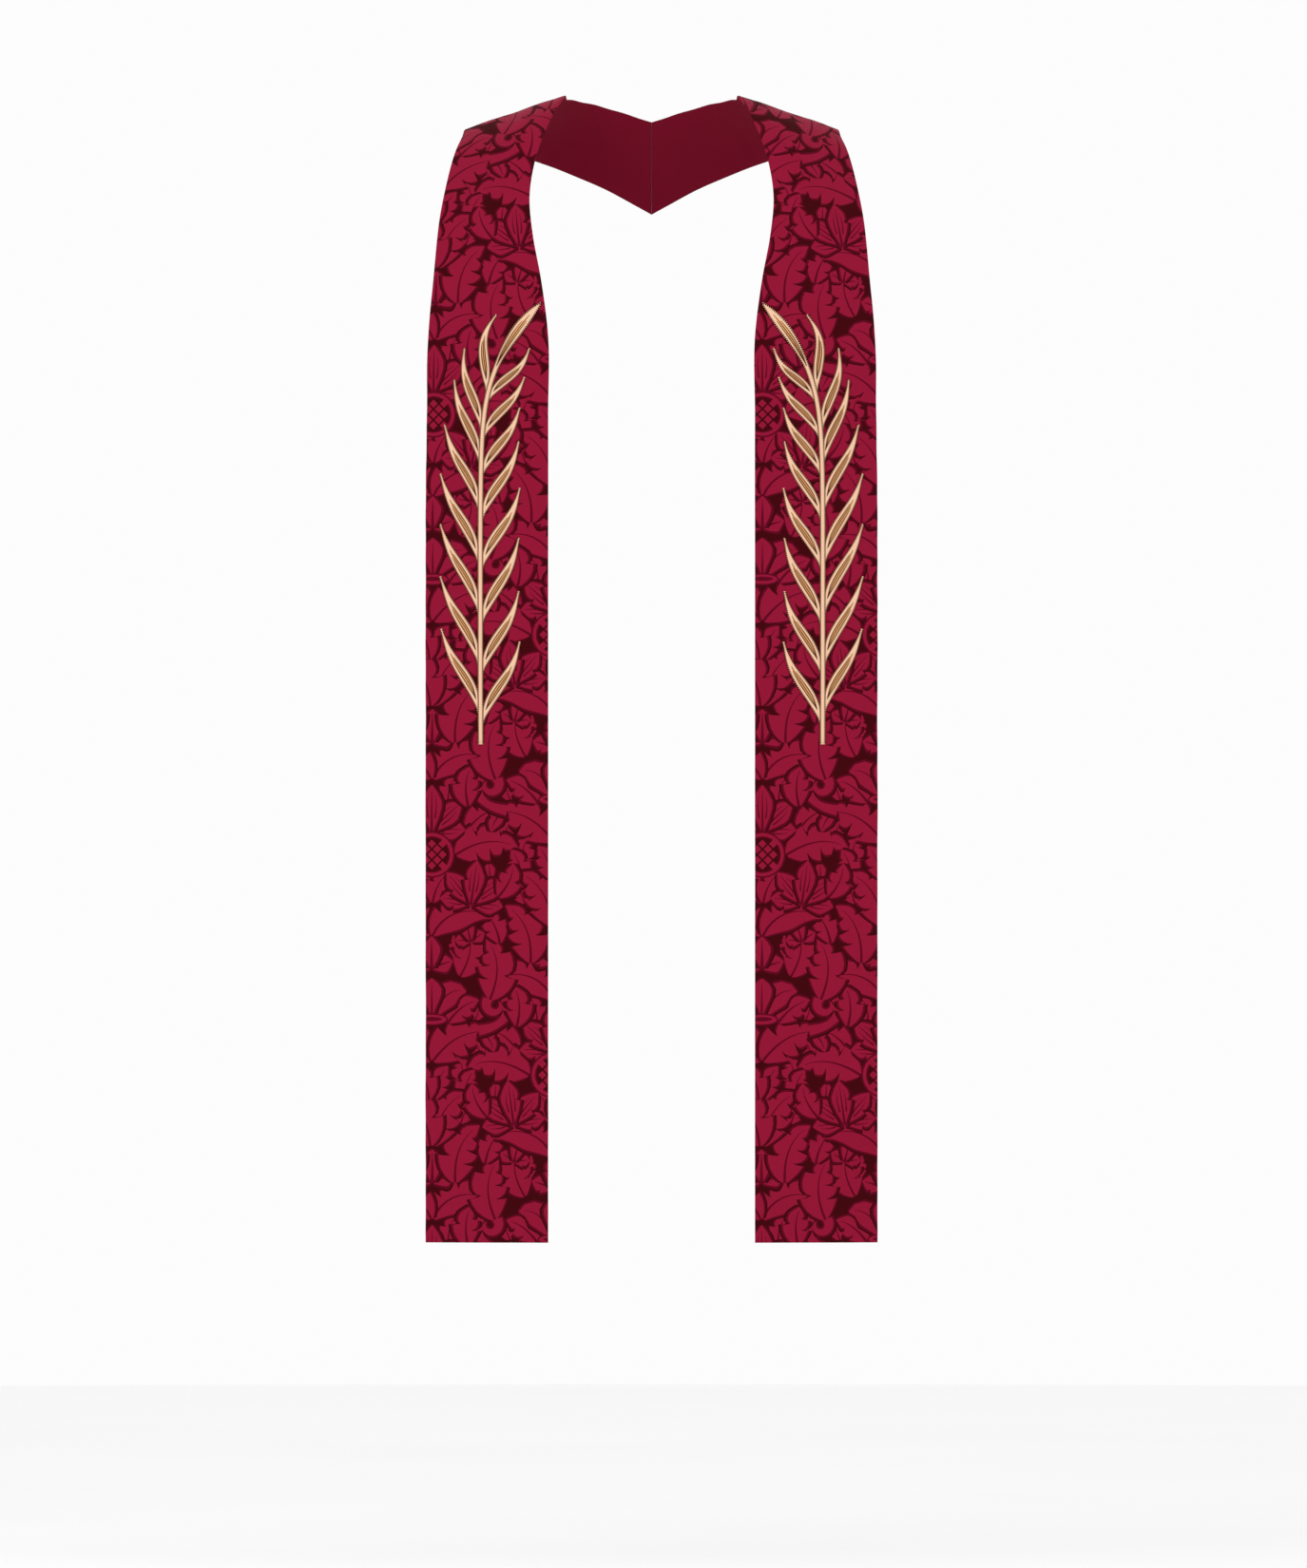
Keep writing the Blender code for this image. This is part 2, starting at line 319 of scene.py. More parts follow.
@dataclass(frozen=True)
class Blade:
    """A lobe of a motif that tapers along a curved spine, in millimetres and degrees."""

    length: float
    half_width: float
    turn: float = 0.0
    bend: float = 0.0
    curl: float = 1.0
    teeth: int = 0
    bite: float = 0.34
    fullest: float = 0.45
    root_share: float = 0.12
    smooth_side: int = 0
    veins: int = 1
    gather: float = 0.85
    rims: tuple[float, float] = (3.9, 2.0)
    tip_rim: float = 0.4
    root_power: float = 0.75
    bite_power: float = 0.3
    vein_taper: float = 0.85
    vein_points: int = 9
    spine_points: int = 81
    fewest_points: int = 9
    point_angle: float = 14.0

    def spine(self, parts: np.ndarray) -> tuple[np.ndarray, np.ndarray]:
        """Follows the lobe's spine.

        Args:
            parts: How much of the way from root to tip.

        Returns:
            The places on the spine, and its headings there in radians.
        """
        fine = np.linspace(0, 1, self.spine_points)
        heading = np.radians(self.turn + self.bend * fine**self.curl)
        steps = np.column_stack([np.sin(heading), np.cos(heading)]) * self.length / (len(fine) - 1)
        line = np.vstack([[0.0, 0.0], np.cumsum((steps[:-1] + steps[1:]) / 2, axis=0)])
        places = [np.interp(parts, fine, line[:, 0]), np.interp(parts, fine, line[:, 1])]
        return np.column_stack(places), np.interp(parts, fine, heading)

    def widths(self, parts: np.ndarray) -> np.ndarray:
        """Works out half the lobe's width, without its teeth.

        Args:
            parts: How much of the way from root to tip.

        Returns:
            Half the width at each part.
        """
        inside = np.clip(parts, 0, 1)
        peak = math.log(0.5) / math.log(self.fullest)
        power = np.where(inside < self.fullest, self.root_power, 1.0)
        swell = np.sin(math.pi * inside**peak).clip(0) ** power
        return self.half_width * np.maximum(swell, self.root_share * (1 - inside) ** 2)

    def shifted(self, parts: np.ndarray, offsets: np.ndarray) -> np.ndarray:
        """Places beside the spine, offset to its right."""
        line, heading = self.spine(parts)
        return line + np.column_stack([np.cos(heading), -np.sin(heading)]) * offsets[:, None]

    def edge(self, side: int, grow: float) -> np.ndarray:
        """Draws one side of the lobe from root to tip.

        Args:
            side: 1 for the spine's right and -1 for its left.
            grow: How far outside the lobe the line runs.

        Returns:
            The points of the side.
        """
        if not self.teeth or side == self.smooth_side:
            count = max(self.fewest_points, int(abs(self.bend) / self.point_angle))
            parts = np.linspace(0, 1, count)
            return self.shifted(parts, side * (self.widths(parts) + grow))
        places, leans, reaches = (np.array(column) for column in zip(*TOOTH))
        count = self.teeth - (side < 0)
        tooth = np.arange(count)[:, None]
        parts = (((tooth + places) / count) ** self.gather).ravel()
        lean = np.tile(leans, count) / count
        reach = np.tile(reaches, count)
        # The root and the end of the last tooth keep the lobe's own outline.
        reach[0] = 1.0
        lean[-4:] = 0.0
        reach[-3:] = 1.0
        bite = self.bite * np.sin(math.pi * parts) ** self.bite_power * (1 - reach)
        sides = self.shifted(parts + lean, side * (self.widths(parts) * (1 - bite) + grow))
        tip = self.shifted(np.ones(1), np.array([side * grow * self.tip_rim]))
        return np.vstack([sides, tip])

    def line_along(self, vein: Vein) -> np.ndarray:
        """Draws a vein, which tapers towards the tip.

        Args:
            vein: Where the vein runs and how thick it starts.

        Returns:
            The vein's outline.
        """
        parts = np.linspace(vein.begin, vein.end, self.vein_points)
        middle = self.widths(parts) * vein.offset
        taper = 1 - self.vein_taper * (parts - vein.begin) / (vein.end - vein.begin)
        half = vein.thick * taper / 2
        return np.vstack([self.shifted(parts, middle + half), self.shifted(parts, middle - half)[::-1]])

    def patches(self) -> list[Patch]:
        """Draws the lobe, the dark lines round it and its veins.

        Returns:
            The patches, lowest first.
        """
        found = [
            Patch(tone, np.vstack([self.edge(1, grow), self.edge(-1, grow)[::-1]]))
            for tone, grow in zip((Tone.GROUND, Tone.LINE, Tone.FIGURE), (*self.rims, 0.0))
        ]
        if self.veins:
            found.append(Patch(Tone.LINE, self.line_along(MAIN_VEIN)))
        if self.veins > 1:
            pair = (SIDE_VEIN._replace(offset=SIDE_VEIN.offset * side) for side in (-1, 1))
            found += [Patch(Tone.LINE, self.line_along(vein)) for vein in pair]
        return found


def oval(centre: tuple[float, float], reach: tuple[float, float], sides: int = 24) -> np.ndarray:
    """Draws an oval outline.

    Args:
        centre: Its centre.
        reach: Half its width and half its height.
        sides: The number of its sides.

    Returns:
        Its points, anticlockwise.
    """
    angle = np.linspace(0, math.tau, sides, endpoint=False)
    rounded = np.column_stack([np.cos(angle), np.sin(angle)])
    return rounded * np.array(reach) + np.array(centre)


class Motif(Enum):
    """The motifs of the damask."""

    ACANTHUS = "acanthus"
    CURVED_LEAF = "curved leaf"
    FAN = "fan"
    SCROLL = "scroll"
    BELL = "bell flower"
    GLOBE = "fruit"
    SPRIG = "sprig"
    LEAFLET = "leaflet"

    def patches(self) -> list[Patch]:
        """The motif's patches, lowest first, rising from the origin."""
        return DRAWINGS[self]()


def draw_acanthus() -> list[Patch]:
    """A broad leaf with teeth on both sides."""
    return Blade(64, 17, turn=-24, bend=66, curl=1.5, teeth=4, bite=0.62, fullest=0.4).patches()


def draw_curved_leaf() -> list[Patch]:
    """A leaf that curls over, with teeth on its outer side."""
    return Blade(68, 15.5, turn=-42, bend=104, teeth=5, bite=0.6, smooth_side=1).patches()


def draw_fan() -> list[Patch]:
    """Draws five toothed lobes that open like a fan.

    Returns:
        Their patches, lowest first.
    """
    found: list[Patch] = []
    for turn, length in ((-78, 32), (78, 32), (-41, 40), (41, 40), (0, 44)):
        bend = turn * 0.25
        lobe = Blade(length, 9.5, turn=turn, bend=bend, teeth=2, bite=0.42, fullest=0.55, veins=2)
        found += lobe.patches()
    return found


def draw_scroll() -> list[Patch]:
    """A stalk that coils up, with a small leaf at its foot."""
    stalk = Blade(104, 4.8, turn=-60, bend=560, curl=1.9, fullest=0.5, root_share=1.0, veins=0)
    return [*Blade(26, 6, turn=-95, bend=-60, teeth=2, fullest=0.5).patches(), *stalk.patches()]


def draw_bell() -> list[Patch]:
    """Draws a flower of three petals in a cuff.

    Returns:
        Its patches, lowest first.
    """
    found: list[Patch] = []
    for turn in (-1, 1):
        petal = Blade(46, 11, turn=22 * turn, bend=95 * turn, curl=2.2, fullest=0.58)
        found += petal.patches()
    found += Blade(38, 9, fullest=0.7).patches()
    found.append(Patch(Tone.LINE, oval((0, 1), (14.8, 5.6))))
    found.append(Patch(Tone.FIGURE, oval((0, 1), (13.4, 4.2))))
    found.append(Patch(Tone.LINE, oval((0, 1.4), (9.5, 1.9))))
    return found


def draw_globe() -> list[Patch]:
    """Draws a round fruit with a lattice in a ring.

    Returns:
        Its patches, lowest first.
    """
    centre = (0.0, 0.0)
    rings = ((Tone.LINE, 23.2), (Tone.FIGURE, 21.5), (Tone.LINE, 18.4), (Tone.GROUND, 17.0))
    found = [Patch(tone, oval(centre, (radius, radius))) for tone, radius in rings]
    spacing, reach, diamond = 5.4, 15.5, 4.2
    for i in range(-3, 4):
        for j in range(-3, 4):
            centre = (spacing * (i + j), spacing * (i - j))
            if math.hypot(*centre) < reach:
                found.append(Patch(Tone.FIGURE, oval(centre, (diamond, diamond), sides=4)))
    return found


def draw_sprig() -> list[Patch]:
    """Draws three small lobes.

    Returns:
        Their patches, lowest first.
    """
    found: list[Patch] = []
    for turn, length in ((-62, 17), (62, 17), (0, 24)):
        lobe = Blade(length, 6.5, turn=turn, bend=turn * 0.3, fullest=0.55, teeth=2, bite=0.4)
        found += lobe.patches()
    return found


def draw_leaflet() -> list[Patch]:
    """A small leaf with teeth on both sides."""
    return Blade(36, 10.5, turn=-16, bend=44, curl=1.4, teeth=3, bite=0.55).patches()


DRAWINGS: dict[Motif, Callable[[], list[Patch]]] = {
    Motif.ACANTHUS: draw_acanthus,
    Motif.CURVED_LEAF: draw_curved_leaf,
    Motif.FAN: draw_fan,
    Motif.SCROLL: draw_scroll,
    Motif.BELL: draw_bell,
    Motif.GLOBE: draw_globe,
    Motif.SPRIG: draw_sprig,
    Motif.LEAFLET: draw_leaflet,
}


class Place(NamedTuple):
    """Where a motif stands in the repeat: root in millimetres, clockwise turn in degrees."""

    motif: Motif
    x: float
    y: float
    turn: float
    size: float = 1.0
    flip: int = 1


CHART = (
    Place(Motif.LEAFLET, 102, 126, 4, 0.7),
    Place(Motif.SPRIG, 66, 206, 4, 0.85),
    Place(Motif.LEAFLET, 30, 182, 30, 0.75),
    Place(Motif.LEAFLET, 82, 62, -12, 0.65),
    Place(Motif.LEAFLET, 76, 22, 20, 0.7),
    Place(Motif.LEAFLET, 95, -14, 6, 1.15),
    Place(Motif.LEAFLET, 17, 58, 14, 0.9),
    Place(Motif.LEAFLET, 126, 184, -26, 1.05, -1),
    Place(Motif.LEAFLET, 36, 30, 52, 1.15),
    Place(Motif.ACANTHUS, 25, 6, 82, 1.08),
    Place(Motif.FAN, 0, 30, 0, 1.1),
    Place(Motif.GLOBE, 0, 6, 0, 1.04),
    Place(Motif.ACANTHUS, 126, 20, -62, 1.12, -1),
    Place(Motif.SCROLL, 78, 52, -20, 1.12),
    Place(Motif.CURVED_LEAF, 1, 84, 62, 1.06),
    Place(Motif.LEAFLET, 110, 60, -52, 1.15, -1),
    Place(Motif.BELL, 127, 62, 0, 1.16),
    Place(Motif.LEAFLET, 38, 56, 2, 1.2),
    Place(Motif.ACANTHUS, 97, 108, -6, 0.92),
    Place(Motif.ACANTHUS, 66, 84, 2, 1.06),
    Place(Motif.SPRIG, 127, 116, 0, 1.4),
    Place(Motif.SPRIG, 0, 122, 0, 1.45),
    Place(Motif.LEAFLET, 56, 142, 26, 1.1),
    Place(Motif.ACANTHUS, 24, 122, 22, 1.08),
    Place(Motif.SPRIG, 86, 144, 14, 1.0),
    Place(Motif.CURVED_LEAF, 126, 150, -64, 1.1, -1),
    Place(Motif.LEAFLET, 34, 206, 16, 1.0),
    Place(Motif.ACANTHUS, 2, 160, 30, 1.08),
    Place(Motif.FAN, 86, 183, -8, 1.04),
    Place(Motif.LEAFLET, 3, 208, 20, 1.08),
    Place(Motif.LEAFLET, 58, 190, -26, 1.1),
)


@dataclass(frozen=True)
class DamaskChart:
    """The repeat of the damask, mirrored in each column, each column half a repeat higher."""

    column_width: float = PANEL_WIDTH / MM
    repeat_height: float = 456.0
    left_edge: float = -7.0
    foot: float = 60.0

    def mirrored(self, place: Place) -> Place:
        """The place's twin on the other side of its column's middle line."""
        return place._replace(x=-place.x, turn=-place.turn, flip=-place.flip)

    def patches(self, width: float, low: np.ndarray, high: np.ndarray) -> Iterator[Patch]:
        """Lays out every patch that reaches into a box.

        Args:
            width: The strip's width, in millimetres. Not used.
            low: The box's lowest x and y.
            high: The box's highest x and y.

        Yields:
            Patches in the strip's millimetres, lowest first.
        """
        columns = range(-2, 4)
        rows = range(-2, math.ceil(high[1] / self.repeat_height) + 2)
        for place in (twin for item in CHART for twin in (item, self.mirrored(item))):
            turn = math.radians(place.turn)
            spin = np.array([[math.cos(turn), -math.sin(turn)], [math.sin(turn), math.cos(turn)]])
            drawn = [
                (tone, outline * [place.flip * place.size, place.size] @ spin)
                for tone, outline in place.motif.patches()
            ]
            for column in columns:
                for row in rows:
                    rise = self.repeat_height * (row + (column % 2) / 2)
                    shift = np.array([place.x + column * self.column_width, place.y + rise])
                    shift -= [self.left_edge, self.foot]
                    for tone, outline in drawn:
                        moved = outline + shift
                        if (moved.max(axis=0) > low).all() and (moved.min(axis=0) < high).all():
                            yield Patch(tone, moved)


# Cutting a half flat and laying it on the form.


def inset(loop: np.ndarray, distance: float) -> np.ndarray:
    """A closed outline moved inwards.

    Args:
        loop: The outline's points, anticlockwise.
        distance: How far inside the new outline runs.

    Returns:
        As many points as loop has.
    """
    run = np.roll(loop, -1, axis=0) - loop
    run /= np.linalg.norm(run, axis=1)[:, None]
    inwards = np.column_stack([-run[:, 1], run[:, 0]])
    before = np.roll(inwards, 1, axis=0)
    both = np.sum(inwards * before, axis=1)[:, None]
    return loop + (inwards + before) / (1 + both) * distance


class FlatCut:
    """A half unrolled flat, which gives the true shape that its cloth is cut to.

    Flat places are in millimetres: x from the inner edge at the hem outwards, y up the strip.
    """

    def __init__(self, surface: StoleSurface, seam_gap: float, station_step: float = 8 * MM) -> None:
        """Unrolls the surface.

        Args:
            surface: The half's middle surface.
            seam_gap: The gap between the halves at the nape.
            station_step: The distance between the rows that are unrolled.
        """
        self.surface = surface
        self.seam_gap = seam_gap
        length = surface.places[-1]
        self.stations = np.linspace(0, length, math.ceil(length / station_step))
        zeros = np.zeros_like(self.stations)
        inner = surface.bare_points(self.stations, zeros) / MM
        outer = surface.bare_points(self.stations, zeros + 1) / MM
        self.inner, self.outer = self._rolled_out(inner, outer)
        self.outline = self._outline()

    @staticmethod
    def _apex(start: np.ndarray, end: np.ndarray, from_start: float, from_end: float) -> np.ndarray:
        """Finds the corner above a line that is given distances from its two ends.

        Args:
            start: The line's left end.
            end: The line's right end.
            from_start: The corner's distance from the left end.
            from_end: The corner's distance from the right end.

        Returns:
            The corner.
        """
        run = end - start
        base = math.hypot(*run)
        x = (from_start**2 - from_end**2 + base**2) / (2 * base)
        y = math.sqrt(from_start**2 - x**2)
        return start + (run * x + np.array([-run[1], run[0]]) * y) / base

    def _rolled_out(self, inner: np.ndarray, outer: np.ndarray) -> tuple[np.ndarray, np.ndarray]:
        """Lays the two edges flat, triangle by triangle, with every length kept.

        Args:
            inner: Points up the inner edge.
            outer: As many points up the outer edge.

        Returns:
            The flat places of the inner and of the outer edge.
        """
        span = math.dist(inner[0], outer[0])
        flat_inner, flat_outer = [np.zeros(2)], [np.array([span, 0.0])]
        for row in range(len(inner) - 1):
            start, end = flat_inner[-1], flat_outer[-1]
            diagonal = math.dist(inner[row], outer[row + 1])
            corner = self._apex(start, end, diagonal, math.dist(outer[row], outer[row + 1]))
            side = math.dist(inner[row], inner[row + 1])
            width = math.dist(inner[row + 1], outer[row + 1])
            flat_inner.append(self._apex(start, corner, side, width))
            flat_outer.append(corner)
        return np.array(flat_inner), np.array(flat_outer)

    def laid_flat(self, along: np.ndarray, across: np.ndarray) -> np.ndarray:
        """Lays places on the surface flat.

        Args:
            along: Lengths from the hem.
            across: Shares of the way from the inner edge to the outer one.

        Returns:
            One flat place a row.
        """
        edges = [
            np.column_stack([np.interp(along, self.stations, edge[:, axis]) for axis in (0, 1)])
            for edge in (self.inner, self.outer)
        ]
        return edges[0] + (edges[1] - edges[0]) * across[:, None]

    def seam_along(self, across: np.ndarray, steps: int = 160) -> np.ndarray:
        """Finds where the half reaches the seam at the nape.

        Args:
            across: Shares of the way from the inner edge to the outer one.
            steps: The number of lengths that are looked at.

        Returns:
            The length up the strip at each share.
        """
        reach = np.linspace(self.surface.places[-4], self.surface.places[-1], steps)
        lengths = []
        for share in across:
            x = self.surface.bare_points(reach, np.full_like(reach, share))[:, 0]
            lengths.append(np.interp(-self.seam_gap / 2, -x, reach))
        return np.array(lengths)

    def _outline(self, step: float = 5.0) -> np.ndarray:
        """Draws the cut's outline.

        Args:
            step: The spacing of its points.

        Returns:
            The points, anticlockwise from the inner corner of the hem.
        """
        across = np.linspace(0, 1, round(math.dist(self.inner[0], self.outer[0]) / step) + 1)
        top_inner, top_outer = self.seam_along(np.array([0.0, 1.0]))
        inner_along = np.linspace(top_inner, 0, math.ceil(top_inner / (step * MM)))[1:-1]
        outer_along = np.linspace(0, top_outer, math.ceil(top_outer / (step * MM)))[1:-1]
        return np.vstack([
            self.laid_flat(np.zeros_like(across), across),
            self.laid_flat(outer_along, np.ones_like(outer_along)),
            self.laid_flat(self.seam_along(across[::-1]), across[::-1]),
            self.laid_flat(inner_along, np.zeros_like(inner_along)),
        ])

    def area(self) -> float:
        """The cut's area in square metres."""
        x, y = (self.outline * MM).T
        return float(abs(np.dot(x, np.roll(y, -1)) - np.dot(y, np.roll(x, -1))) / 2)

    def size(self) -> tuple[float, float]:
        """The width and length of the smallest upright rectangle the cut comes out of."""
        width, length = np.ptp(self.outline, axis=0) * MM
        return float(width), float(length)

    def on_surface(self, flat: np.ndarray) -> tuple[np.ndarray, np.ndarray]:
        """Finds where flat places lie on the surface.

        Args:
            flat: One flat place a row.

        Returns:
            Their lengths from the hem, and their shares of the way across.
        """
        run = self.outer - self.inner
        width = np.linalg.norm(run, axis=1)
        x, y = flat[:, 0:1] - self.inner[:, 0], flat[:, 1:2] - self.inner[:, 1]
        above = (run[:, 0] * y - run[:, 1] * x) / width
        row = np.clip((above >= 0).sum(axis=1) - 1, 0, len(self.stations) - 2)
        each = np.arange(len(flat))
        start, end = above[each, row], above[each, row + 1]
        share = start / (start - end)
        along = self.stations[row] + (self.stations[row + 1] - self.stations[row]) * share
        inner = self.inner[row] + (self.inner[row + 1] - self.inner[row]) * share[:, None]
        outer = self.outer[row] + (self.outer[row + 1] - self.outer[row]) * share[:, None]
        run = outer - inner
        across = np.sum((flat - inner) * run, axis=1) / np.sum(run * run, axis=1)
        return along, across

    def depth_inside(self, flat: np.ndarray) -> np.ndarray:
        """Measures how far inside the outline flat places are.

        Args:
            flat: One flat place a row.

        Returns:
            The distance of each from the outline.
        """
        ends = np.roll(self.outline, -1, axis=0)
        nearest = np.full(len(flat), np.inf)
        for start, end in zip(self.outline, ends):
            run = end - start
            share = np.clip((flat - start) @ run / (run @ run), 0, 1)
            nearest = np.minimum(nearest, np.linalg.norm(flat - start - run * share[:, None], axis=1))
        return nearest


class CutSheet(NamedTuple):
    """A triangulated flat sheet: its points, triangles, tones and outline in order."""

    flat: np.ndarray
    triangles: np.ndarray
    tones: np.ndarray
    rim: np.ndarray


@dataclass
class DamaskHalf:
    """One half of the stole: the damask on its front, its turned edges and its plain underside."""

    surface: StoleSurface
    chart: DamaskChart
    wall: float = CLOTH_WALL
    seam_gap: float = 0.02 * MM
    seam_reach: float = 0.15 * MM
    front_step: float = 6.0
    back_step: float = 13.0
    edge_rows: tuple[float, ...] = (0.35, 1.2)
    weld: float = 1e-3
    panel_width: float = PANEL_WIDTH
    bake_columns: int = 3
    bake_margin: float = 0.006
    bake_spare: float = 0.008
    back_corner: tuple[float, float] = (0.87, 0.01)
    back_size: tuple[float, float] = (0.11, 0.98)

    def __post_init__(self) -> None:
        """Draws the half flat."""
        self.cut = FlatCut(self.surface, self.seam_gap)

    def _grid(self, step: float) -> np.ndarray:
        """Spreads points evenly, well inside the outline.

        Args:
            step: Their spacing.

        Returns:
            One flat place a row.
        """
        low, high = self.cut.outline.min(axis=0), self.cut.outline.max(axis=0)
        x, y = np.meshgrid(*(np.arange(a, b, step) for a, b in zip(low, high)))
        points = np.column_stack([x.ravel(), y.ravel()])
        ahead = np.roll(self.cut.outline, -1, axis=0)
        x0, y0 = self.cut.outline.T
        x1, y1 = ahead.T
        crossing = (y0 > points[:, 1:2]) != (y1 > points[:, 1:2])
        with np.errstate(divide="ignore", invalid="ignore"):
            meets = x0 + (points[:, 1:2] - y0) * (x1 - x0) / (y1 - y0)
        inside = (crossing & (points[:, 0:1] < meets)).sum(axis=1) % 2 == 1
        points = points[inside]
        return points[self.cut.depth_inside(points) > self.edge_rows[-1] + step / 3]

    def _triangulated(self, rim: np.ndarray, step: float, patches: list[Patch]) -> CutSheet:
        """Cuts a sheet into triangles along its patches.

        Args:
            rim: The sheet's outline, anticlockwise.
            step: The spacing of the points between the patches.
            patches: What is woven into the sheet, lowest first.

        Returns:
            The sheet, with only what lies inside the rim.
        """
        points: list[Any] = [Vector(p) for p in rim]
        edges: list[tuple[int, int]] = []
        faces = [list(range(len(rim)))]
        for distance in self.edge_rows:
            first = len(points)
            points += [Vector(p) for p in inset(self.cut.outline, distance)]
            loop = range(first, len(points))
            edges += list(zip(loop, [*loop[1:], first]))
        for patch in patches:
            x, y = patch.outline.T
            turned = np.dot(x, np.roll(y, -1)) < np.dot(y, np.roll(x, -1))
            faces.append(list(range(len(points), len(points) + len(x))))
            points += [Vector(p) for p in (patch.outline[::-1] if turned else patch.outline)]
        points += [Vector(p) for p in self._grid(step)]
        cut = delaunay_2d_cdt(points, edges, faces, 0, self.weld, True)
        flat, triangles, origins = cut[0], cut[2], cut[5]
        kept = [(t, max(o)) for t, o in zip(triangles, origins) if 0 in o]
        tones = np.array([patches[top - 1].tone.value if top else 0.0 for _, top in kept])
        triangles = np.array([t for t, _ in kept])
        used, triangles = np.unique(triangles, return_inverse=True)
        flat = np.array([tuple(p) for p in flat])[used]
        triangles = triangles.reshape(-1, 3)
        return CutSheet(flat, triangles, tones, self._rim_of(triangles))

    @staticmethod
    def _rim_of(triangles: np.ndarray) -> np.ndarray:
        """Finds the points round the outside of a sheet.

        Args:
            triangles: The sheet's triangles.

        Returns:
            The numbers of those points, in order.
        """
        sides = {(int(t[i]), int(t[(i + 1) % 3])) for t in triangles for i in range(3)}
        ahead = {a: b for a, b in sides if (b, a) not in sides}
        rim = [next(iter(ahead))]
        while ahead[rim[-1]] != rim[0]:
            rim.append(ahead[rim[-1]])
        return np.array(rim)

    def _lift(self, flat: np.ndarray) -> np.ndarray:
        """Works out the thickness of the wall, which is rounded off at its edges.

        Args:
            flat: One flat place a row.

        Returns:
            How far the face stands off the middle surface at each place.
        """
        roll = self.edge_rows[-1]
        left = 1 - np.clip(self.cut.depth_inside(flat) / roll, 0, 1)
        return self.wall / 2 * np.sqrt(1 - left * left)

    def _bake_places(self, along: np.ndarray, across: np.ndarray, middle: np.ndarray) -> np.ndarray:
        """Places the front on the map for baking, where it is folded into columns.

        Args:
            along: Each corner's length from the hem.
            across: Each corner's share of the way across.
            middle: The length from the hem to the middle of each corner's triangle.

        Returns:
            One place on the map a row.
        """
        length = self.surface.places[-1] / self.bake_columns
        column = np.floor(middle / length)
        scale = length + 2 * self.bake_margin + self.bake_spare
        width = self.panel_width + 2 * self.bake_margin
        u = column * width + self.bake_margin + across * self.panel_width
        v = along - column * length + self.bake_margin
        return np.column_stack([u, v]) / scale

    def _front_patches(self) -> list[Patch]:
        """Lays out the damask, which reads the same way round on both halves.

        Returns:
            This half's patches, lowest first.
        """
        low, high = self.cut.outline.min(axis=0), self.cut.outline.max(axis=0)
        width = math.dist(self.cut.inner[0], self.cut.outer[0])
        if self.surface.side is Side.LEFT:
            return list(self.chart.patches(width, low, high))
        mirrored_low = np.array([width - high[0], low[1]])
        mirrored_high = np.array([width - low[0], high[1]])
        return [
            Patch(tone, outline * [-1, 1] + [width, 0])
            for tone, outline in self.chart.patches(width, mirrored_low, mirrored_high)
        ]

    def build(self) -> bpy.types.Object:
        """Makes the half's mesh.

        Returns:
            The piece, whose faces carry their tone and whose maps hold the grain.
        """
        front = self._triangulated(self.cut.outline, self.front_step, self._front_patches())
        back = self._triangulated(front.flat[front.rim], self.back_step, [])
        shared = {tuple(p): i for p, i in zip(front.flat[front.rim], front.rim)}
        index = np.array([shared.get(tuple(p), -1) for p in back.flat])
        fresh = index < 0
        index[fresh] = len(front.flat) + np.arange(fresh.sum())
        flat = np.vstack([front.flat, back.flat[fresh]])
        lift = self._lift(flat)
        lift[front.rim] = 0
        lift[len(front.flat):] *= -1
        along, across = self.cut.on_surface(flat)
        points = self.surface.points(along, across, lift)
        at_seam = np.abs(points[:, 0]) < self.seam_reach
        points[at_seam, 0] = self.surface.side.value * self.seam_gap / 2
        triangles = np.vstack([front.triangles, index[back.triangles][:, ::-1]])
        if self.surface.side is Side.RIGHT:
            triangles = triangles[:, ::-1]
        mesh = bpy.data.meshes.new(f"damask_half_{self.surface.side.word}")
        mesh.from_pydata(points.tolist(), [], triangles.tolist())
        tones = np.concatenate([front.tones, np.full(len(back.triangles), Tone.PLAIN.value)])
        mesh.attributes.new("tone", "FLOAT", "FACE").data.foreach_set("value", tones)
        self._add_maps(mesh, triangles, flat * MM, along, across, len(front.triangles))
        mesh.shade_smooth()
        piece = bpy.data.objects.new(mesh.name, mesh)
        bpy.context.scene.collection.objects.link(piece)
        return piece

    def _add_maps(
        self,
        mesh: bpy.types.Mesh,
        triangles: np.ndarray,
        flat: np.ndarray,
        along: np.ndarray,
        across: np.ndarray,
        front_count: int,
    ) -> None:
        """Gives the mesh its grain map in flat metres and its map for baking.

        Args:
            mesh: The half's mesh.
            triangles: Its triangles, those of the front first.
            flat: Its points' flat places in metres.
            along: Their lengths from the hem.
            across: Their shares of the way across.
            front_count: The number of triangles on the front.
        """
        corners = triangles.ravel()
        grain = mesh.uv_layers.new(name="grain")
        grain.data.foreach_set("uv", flat[corners].ravel())
        middle = np.repeat(along[triangles].mean(axis=1), 3)
        places = self._bake_places(along[corners], across[corners], middle)
        back = slice(3 * front_count, None)
        length = self.surface.places[-1]
        places[back, 0] = self.back_corner[0] + self.back_size[0] * across[corners][back]
        places[back, 1] = self.back_corner[1] + self.back_size[1] * along[corners][back] / length
        mesh.uv_layers.new(name="OFBake").data.foreach_set("uv", places.ravel())

    def dress(self, piece: bpy.types.Object, finish: DamaskFinish) -> None:
        """Gives the half its finish, hangs it on the root body and hides the solid that it stands for.

        Args:
            piece: The half.
            finish: The damask.
        """
        piece.data.materials.append(finish.material())
        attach(piece, "root")
        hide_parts(f"stole_half_{self.surface.side.word}")
        self.cut.size()
        self.cut.area()


# The palm branch.


